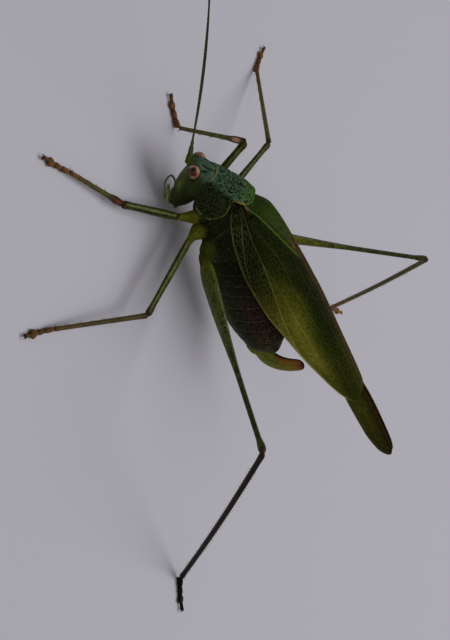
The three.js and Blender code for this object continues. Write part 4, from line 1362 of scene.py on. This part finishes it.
def make_veins():
    """The main veins and the nets between them, for each tegmen."""
    net, rod = vein_net(), ringed_rod()
    smooth = {"Ring Length": 0.5 * MM, "Waist": 0.0, "Sides": 6}
    made = []
    for name, side in SIDES.items():
        for label, group in MAIN_VEINS.items():
            lines, tints = [], []
            for vein in group["names"]:
                t = np.linspace(VEINS[vein][0][0], VEINS[vein][-1][0], 60)
                v = vein_share(vein, t)
                lines.append(carried(wing_points(t, v, name), trunk))
                tints.append(wing_tint(t, v))
            made.append(rod.grow(f"{label}_veins_{name}", guide_mesh(lines, tints=tints), {
                **smooth, "Root Radius": group["radius"] * MM, "Tip Radius": group["radius"] * 0.6 * MM,
                "Material": vein_material(*group["look"])}))
        t = np.linspace(0.06, 0.985, 160)
        rim = carried(wing_points(t, np.full_like(t, 0.99), name), trunk)
        guide = guide_mesh([rim], tints=[wing_tint(t, np.full_like(t, 0.97))])
        made.append(rod.grow(f"rim_vein_{name}", guide, {
            **smooth, "Root Radius": 0.045 * MM, "Tip Radius": 0.035 * MM,
            "Material": vein_material(*MAIN_VEINS["bold"]["look"])}))
        for label, band in NETS.items():
            low, high = (net_edge(share) for share in band["between"])
            made.append(net.grow(f"{label}_net_{name}", wing_sheet(name, low, high), {
                "Cells Along": band["cells"][0], "Cells Across": band["cells"][1], "Shake": NET_SHAKE,
                "Vein Radius": band["radius"] * MM, "Seed": SEED + side,
                "Material": vein_material(*band["look"])}))
    return made


# The thorns of each pair's shins: start is the share of the shin before the first one, and rows are
# their places round it in degrees.
SPINES = {"hind": dict(spacing=0.42, length=0.22, start=0.12, rows=(50, 130, 235, 305)),
          "mid": dict(spacing=1.1, length=0.26, start=0.34, rows=(235, 305)),
          "fore": dict(spacing=0.95, length=0.26, start=0.34, rows=(235, 305))}
SPINE_LEAN = 0.45


def make_spines():
    """Rows of small thorns along the edges of the shins."""
    row = spine_row()
    made = []
    for pair in PAIRS:
        kind = SPINES[pair]
        lines, leans = [], []
        for name in SIDES:
            hip, knee, ankle = leg_joints(pair, name)[1:4]
            outward = unit(knee - (hip + ankle) / 2)
            t = np.linspace(kind["start"], 0.985, 80)
            path = bowed(knee, ankle, outward * (HIND_BOW if pair == "hind" else 0))
            along = unit(ankle - knee)
            side = unit(np.cross(along, outward))
            for angle in np.radians(kind["rows"]):
                away = math.cos(angle) * side + math.sin(angle) * np.cross(side, along)
                lines.append(path(t) + away * (TIBIA[pair](t)[:, :1] * 0.95))
                leans.append(np.tile(unit(away + along * SPINE_LEAN), (len(t), 1)))
        made.append(row.grow(f"spines_{pair}", guide_mesh(lines, leans), {
            "Spacing": kind["spacing"] * MM, "Length": kind["length"] * MM, "Root Radius": 0.03 * MM,
            "Seed": SEED, "Material": spine_material()}))
    return made


# ---------------------------------------------------------------- materials


class Finish:
    """A material built around one Principled shader, with patterns in millimetres."""

    made = {}

    def __init__(self, name, roughness, shine=0.1, **constants):
        self.material = bpy.data.materials.new(name)
        self.material.use_nodes = True
        self.tree = self.material.node_tree
        self.shader = self.tree.nodes["Principled BSDF"]
        self.shader.inputs["Roughness"].default_value = roughness
        self.shader.inputs["Specular IOR Level"].default_value = shine
        for key, value in constants.items():
            self.shader.inputs[key.replace("_", " ")].default_value = value
        place = self.node("ShaderNodeTexCoord")
        scale = self.node("ShaderNodeMapping")
        self.tree.links.new(place.outputs["Object"], scale.inputs["Vector"])
        scale.inputs["Scale"].default_value = (1 / MM,) * 3
        self.place = scale.outputs[0]

    def node(self, kind, settings=None, sockets=None):
        node = self.tree.nodes.new(kind)
        for key, value in (settings or {}).items():
            setattr(node, key, value)
        for key, value in (sockets or {}).items():
            if isinstance(value, bpy.types.NodeSocket):
                self.tree.links.new(value, node.inputs[key])
            else:
                node.inputs[key].default_value = value
        return node

    def noise(self, scale, detail=3.0, place=None):
        return self.node("ShaderNodeTexNoise", None, {
            "Vector": place or self.place, "Scale": scale, "Detail": detail}).outputs["Fac"]

    def cells(self, scale, feature="F1", place=None):
        return self.node("ShaderNodeTexVoronoi", {"feature": feature}, {
            "Vector": place or self.place, "Scale": scale}).outputs["Distance"]

    def shaken(self, scale, amount):
        """The place, moved about by a noise, so that a pattern on it is uneven."""
        noise = self.node("ShaderNodeTexNoise", None, {"Vector": self.place, "Scale": scale, "Detail": 2.0})
        return self.node("ShaderNodeVectorMath", {"operation": "MULTIPLY_ADD"}, {
            0: noise.outputs["Color"], 1: (amount,) * 3, 2: self.place}).outputs[0]

    def attribute(self, name, output="Fac"):
        return self.node("ShaderNodeAttribute", {"attribute_name": name}).outputs[output]

    def math(self, operation, a, b):
        return self.node("ShaderNodeMath", {"operation": operation}, {0: a, 1: b}).outputs[0]

    def between(self, value, low, high, start=0.0, end=1.0):
        """From start to end, smoothly, as the value goes from low to high."""
        return self.node("ShaderNodeMapRange", {"interpolation_type": "SMOOTHSTEP"}, {
            "Value": value, "From Min": low, "From Max": high, "To Min": start, "To Max": end}).outputs[0]

    def mix(self, factor, a, b, blend="MIX"):
        # Sockets 6 and 7 are the mix node's two colours, and output 2 is its colour.
        return self.node("ShaderNodeMix", {"data_type": "RGBA", "blend_type": blend}, {
            0: factor, 6: a, 7: b}).outputs[2]

    def mottled(self, scale, detail, low, high):
        """The mesh's own colours, darker and lighter in patches."""
        patches = self.between(self.noise(scale, detail), 0.3, 0.7, low, high)
        grey = self.node("ShaderNodeCombineColor", None, {0: patches, 1: patches, 2: patches}).outputs[0]
        return self.mix(1.0, self.attribute("tint", "Color"), grey, "MULTIPLY")

    def colour(self, value):
        self.tree.links.new(value, self.shader.inputs["Base Color"])

    def rough(self, value):
        self.tree.links.new(value, self.shader.inputs["Roughness"])

    def bump(self, height, strength, depth):
        node = self.node("ShaderNodeBump", None, {
            "Height": height, "Strength": strength, "Distance": depth * MM})
        self.tree.links.new(node.outputs[0], self.shader.inputs["Normal"])


def made_once(build):
    """A material is built once and shared after that."""

    def shared(*choices):
        key = (build.__name__, *choices)
        if key not in Finish.made:
            Finish.made[key] = build(*choices)
        return Finish.made[key]

    return shared


def speckled(finish, scale, shade, depth):
    """The shared look of the shell and the skin: mottled colour with dark pits where "dots" says so."""
    spread = finish.between(finish.noise(1.3, 2.0), 0.3, 0.7, 0.42, 0.52)
    size = finish.math("MULTIPLY", spread, finish.attribute("dots"))
    pits = finish.math("SUBTRACT", size, finish.cells(scale, place=finish.shaken(9.0, 0.04)))
    pits = finish.between(pits, -0.02, 0.1)
    finish.colour(finish.mix(pits, finish.mottled(2.4, 4.0, 0.75, 1.25), rgba(shade)))
    fine = finish.noise(22.0, 2.0)
    finish.bump(finish.math("SUBTRACT", fine, finish.math("MULTIPLY", pits, 1.2)), 0.6, depth)
    return fine


@made_once
def skin_material():
    skin = Finish("cuticle", 0.5)
    fine = speckled(skin, 7.6, "#060702", 0.03)
    skin.rough(skin.between(fine, 0.3, 0.7, 0.42, 0.6))
    return skin.material


@made_once
def shield_material():
    shield = Finish("shield", 0.5, Coat_Weight=0.05, Coat_Roughness=0.3)
    fine = speckled(shield, 5.4, "#020402", 0.045)
    shield.rough(shield.between(fine, 0.3, 0.7, 0.4, 0.6))
    return shield.material


@made_once
def wing_material():
    wing = Finish("wing", 0.55, shine=0.03)
    tiny_veins = wing.between(wing.cells(3.2, "DISTANCE_TO_EDGE"), 0.02, 0.1, 1.0, 0.0)
    specks = wing.between(wing.cells(6.5), 0.12, 0.26, 1.0, 0.0)
    tint = wing.mottled(2.6, 5.0, 0.72, 1.28)
    tint = wing.mix(wing.math("MULTIPLY", tiny_veins, 0.2), tint, rgba("#4c571f"))
    wing.colour(wing.mix(wing.math("MULTIPLY", specks, 0.4), tint, rgba("#0c1004")))
    height = wing.math("ADD", wing.math("MULTIPLY", tiny_veins, 0.6), wing.noise(14.0, 2.0))
    wing.bump(height, 0.45, 0.035)
    wing.rough(wing.between(wing.noise(6.0), 0.3, 0.7, 0.42, 0.58))
    return wing.material


@made_once
def vein_material(gain, paler):
    """A brighter shade of the wing under it, uneven along its length."""
    vein = Finish("veins", 0.55, shine=0.05)
    uneven = vein.between(vein.noise(0.6, 3.0), 0.3, 0.65, paler, paler * 0.3)
    tint = vein.mix(1.0, vein.attribute("tint", "Color"), (gain, gain, gain, 1), "MULTIPLY")
    vein.colour(vein.mix(uneven, tint, rgba("#a8a86e")))
    vein.bump(vein.noise(25.0, 2.0), 0.3, 0.01)
    return vein.material


@made_once
def eye_material():
    eye = Finish("eye", 0.3, shine=0.25, Coat_Weight=0.12, Coat_Roughness=0.12)
    edges = eye.between(eye.cells(16.0, "DISTANCE_TO_EDGE"), 0.0, 0.12, 1.0, 0.0)  # between the facets
    eye.colour(eye.mix(eye.math("MULTIPLY", edges, 0.3), eye.attribute("tint", "Color"), rgba("#4a2a1e")))
    eye.bump(eye.math("MULTIPLY", edges, -1.0), 0.3, 0.012)
    return eye.material


@made_once
def antenna_material():
    feeler = Finish("feeler", 0.5)
    tint = feeler.mix(feeler.between(feeler.attribute("along"), 0.0, 0.25), rgba("#4a4f22"), rgba("#3a3322"))
    joint = feeler.between(feeler.attribute("ring"), 0.36, 0.5)
    feeler.colour(feeler.mix(feeler.math("MULTIPLY", joint, 0.6), tint, rgba("#1d180e")))
    feeler.bump(feeler.noise(30.0, 2.0), 0.3, 0.008)
    return feeler.material


@made_once
def blade_material():
    blade = Finish("blade", 0.4, shine=0.12, Coat_Weight=0.03, Coat_Roughness=0.15)
    blade.colour(blade.mottled(3.0, 3.0, 0.85, 1.15))
    blade.bump(blade.noise(18.0, 2.0), 0.3, 0.02)
    blade.rough(blade.between(blade.noise(8.0), 0.3, 0.7, 0.25, 0.4))
    return blade.material


@made_once
def spine_material():
    spine = Finish("spine", 0.5)
    spine.colour(spine.mix(spine.between(spine.noise(3.0), 0.35, 0.65), rgba("#4a3c22"), rgba("#2a2012")))
    return spine.material


@made_once
def claw_material():
    claw = Finish("claw", 0.45)
    claw.colour(claw.mix(claw.between(claw.noise(3.0), 0.35, 0.65), rgba("#2a1a10"), rgba("#120b07")))
    claw.bump(claw.noise(30.0, 2.0), 0.3, 0.008)
    return claw.material


# ---------------------------------------------------------------- floor, lights and camera

CAMERA = dict(azimuth=55.8, elevation=29.0, roll=-92.3, distance=91.7, aim=(6.41, 10.74, 6.0), lens=65.0)


def make_floor():
    size = 3.0
    mesh = bpy.data.meshes.new("floor")
    corners = [(-size, -size, 0), (size, -size, 0), (size, size, 0), (-size, size, 0)]
    mesh.from_pydata(corners, [], [(0, 1, 2, 3)])
    floor = add_object("floor", mesh)
    plain = bpy.data.materials.new("floor")
    plain.use_nodes = True
    shader = plain.node_tree.nodes["Principled BSDF"]
    shader.inputs["Base Color"].default_value = (0.59, 0.59, 0.72, 1)
    shader.inputs["Roughness"].default_value = 0.8
    mesh.materials.append(plain)


def make_light(name, place, size, watts, colour=(1, 1, 1)):
    data = bpy.data.lights.new(name, "AREA")
    data.size = size
    data.energy = watts
    data.color = colour
    lamp = add_object(name, data)
    lamp.location = place
    lamp.rotation_euler = (-Vector(place)).to_track_quat("-Z", "Y").to_euler()


def make_world():
    world = bpy.data.worlds.new("studio")
    world.use_nodes = True
    background = world.node_tree.nodes["Background"]
    background.inputs["Color"].default_value = (1, 0.97, 0.88, 1)
    background.inputs["Strength"].default_value = 0.16
    bpy.context.scene.world = world


def make_camera():
    azimuth, elevation, roll = (math.radians(CAMERA[key]) for key in ("azimuth", "elevation", "roll"))
    level = Vector((math.cos(azimuth), math.sin(azimuth), 0))
    out = Vector((math.sin(azimuth), -math.cos(azimuth), 0))
    back = out * math.cos(elevation) + Vector((0, 0, math.sin(elevation)))
    above = back.cross(level)
    up = above * math.cos(roll) + level * math.sin(roll)
    right = up.cross(back)
    data = bpy.data.cameras.new("camera")
    data.lens = CAMERA["lens"]
    data.sensor_width = 36
    data.clip_start = 0.001
    camera = add_object("camera", data)
    aim = Vector(CAMERA["aim"]) + Vector(placed[:3, 3])
    place = (aim + back * CAMERA["distance"]) * MM
    camera.matrix_world = Matrix.Translation(place) @ Matrix((right, up, back)).transposed().to_4x4()
    bpy.context.scene.camera = camera


# ---------------------------------------------------------------- the animal

LEG_NODES = [f"{part}_{pair}_{name}" for part in ("coxa", "femur", "tibia", "tarsus")
             for pair, name in LEGS]


def sided(*stems):
    return [f"{stem}_{name}" for stem in stems for name in SIDES]


def settle(piece, slot, *nodes):
    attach(piece, "root")
    if nodes:
        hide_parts(*nodes)


make_camera()
settle(make_skin(), "body", "head", "mouthparts", "thorax", "abdomen", "subgenital_plate",
       *sided("maxillary_palp", "labial_palp", "cercus"), *(f"antenna_{name}_scape" for name in SIDES),
       *LEG_NODES)
settle(make_shield(), "shield", "pronotum")
for name in SIDES:
    settle(make_tegmen(name), "wing", f"tegmen_{name}")
    settle(make_hind_wing(name), "wing", f"hind_wing_{name}")
    settle(make_eye(name), "eye", f"eye_{name}")
for name, feeler in zip(SIDES, make_antennae()):
    settle(feeler, "antenna", *(f"antenna_{name}_{n}" for n in (1, 2, 3)))
settle(make_ovipositor(), "ovipositor", "ovipositor")
settle(make_claws(), "foot")
for piece in make_veins():
    settle(piece, "wing")
for piece in make_spines():
    settle(piece, "leg")

make_floor()
make_light("sky", (-0.12, 0.16, 0.45), 0.4, 1.3, (1, 0.97, 0.9))
make_light("side", (0.3, -0.1, 0.35), 0.3, 0.25, (1, 0.95, 0.85))
make_world()
bpy.context.scene.view_settings.view_transform = "Standard"
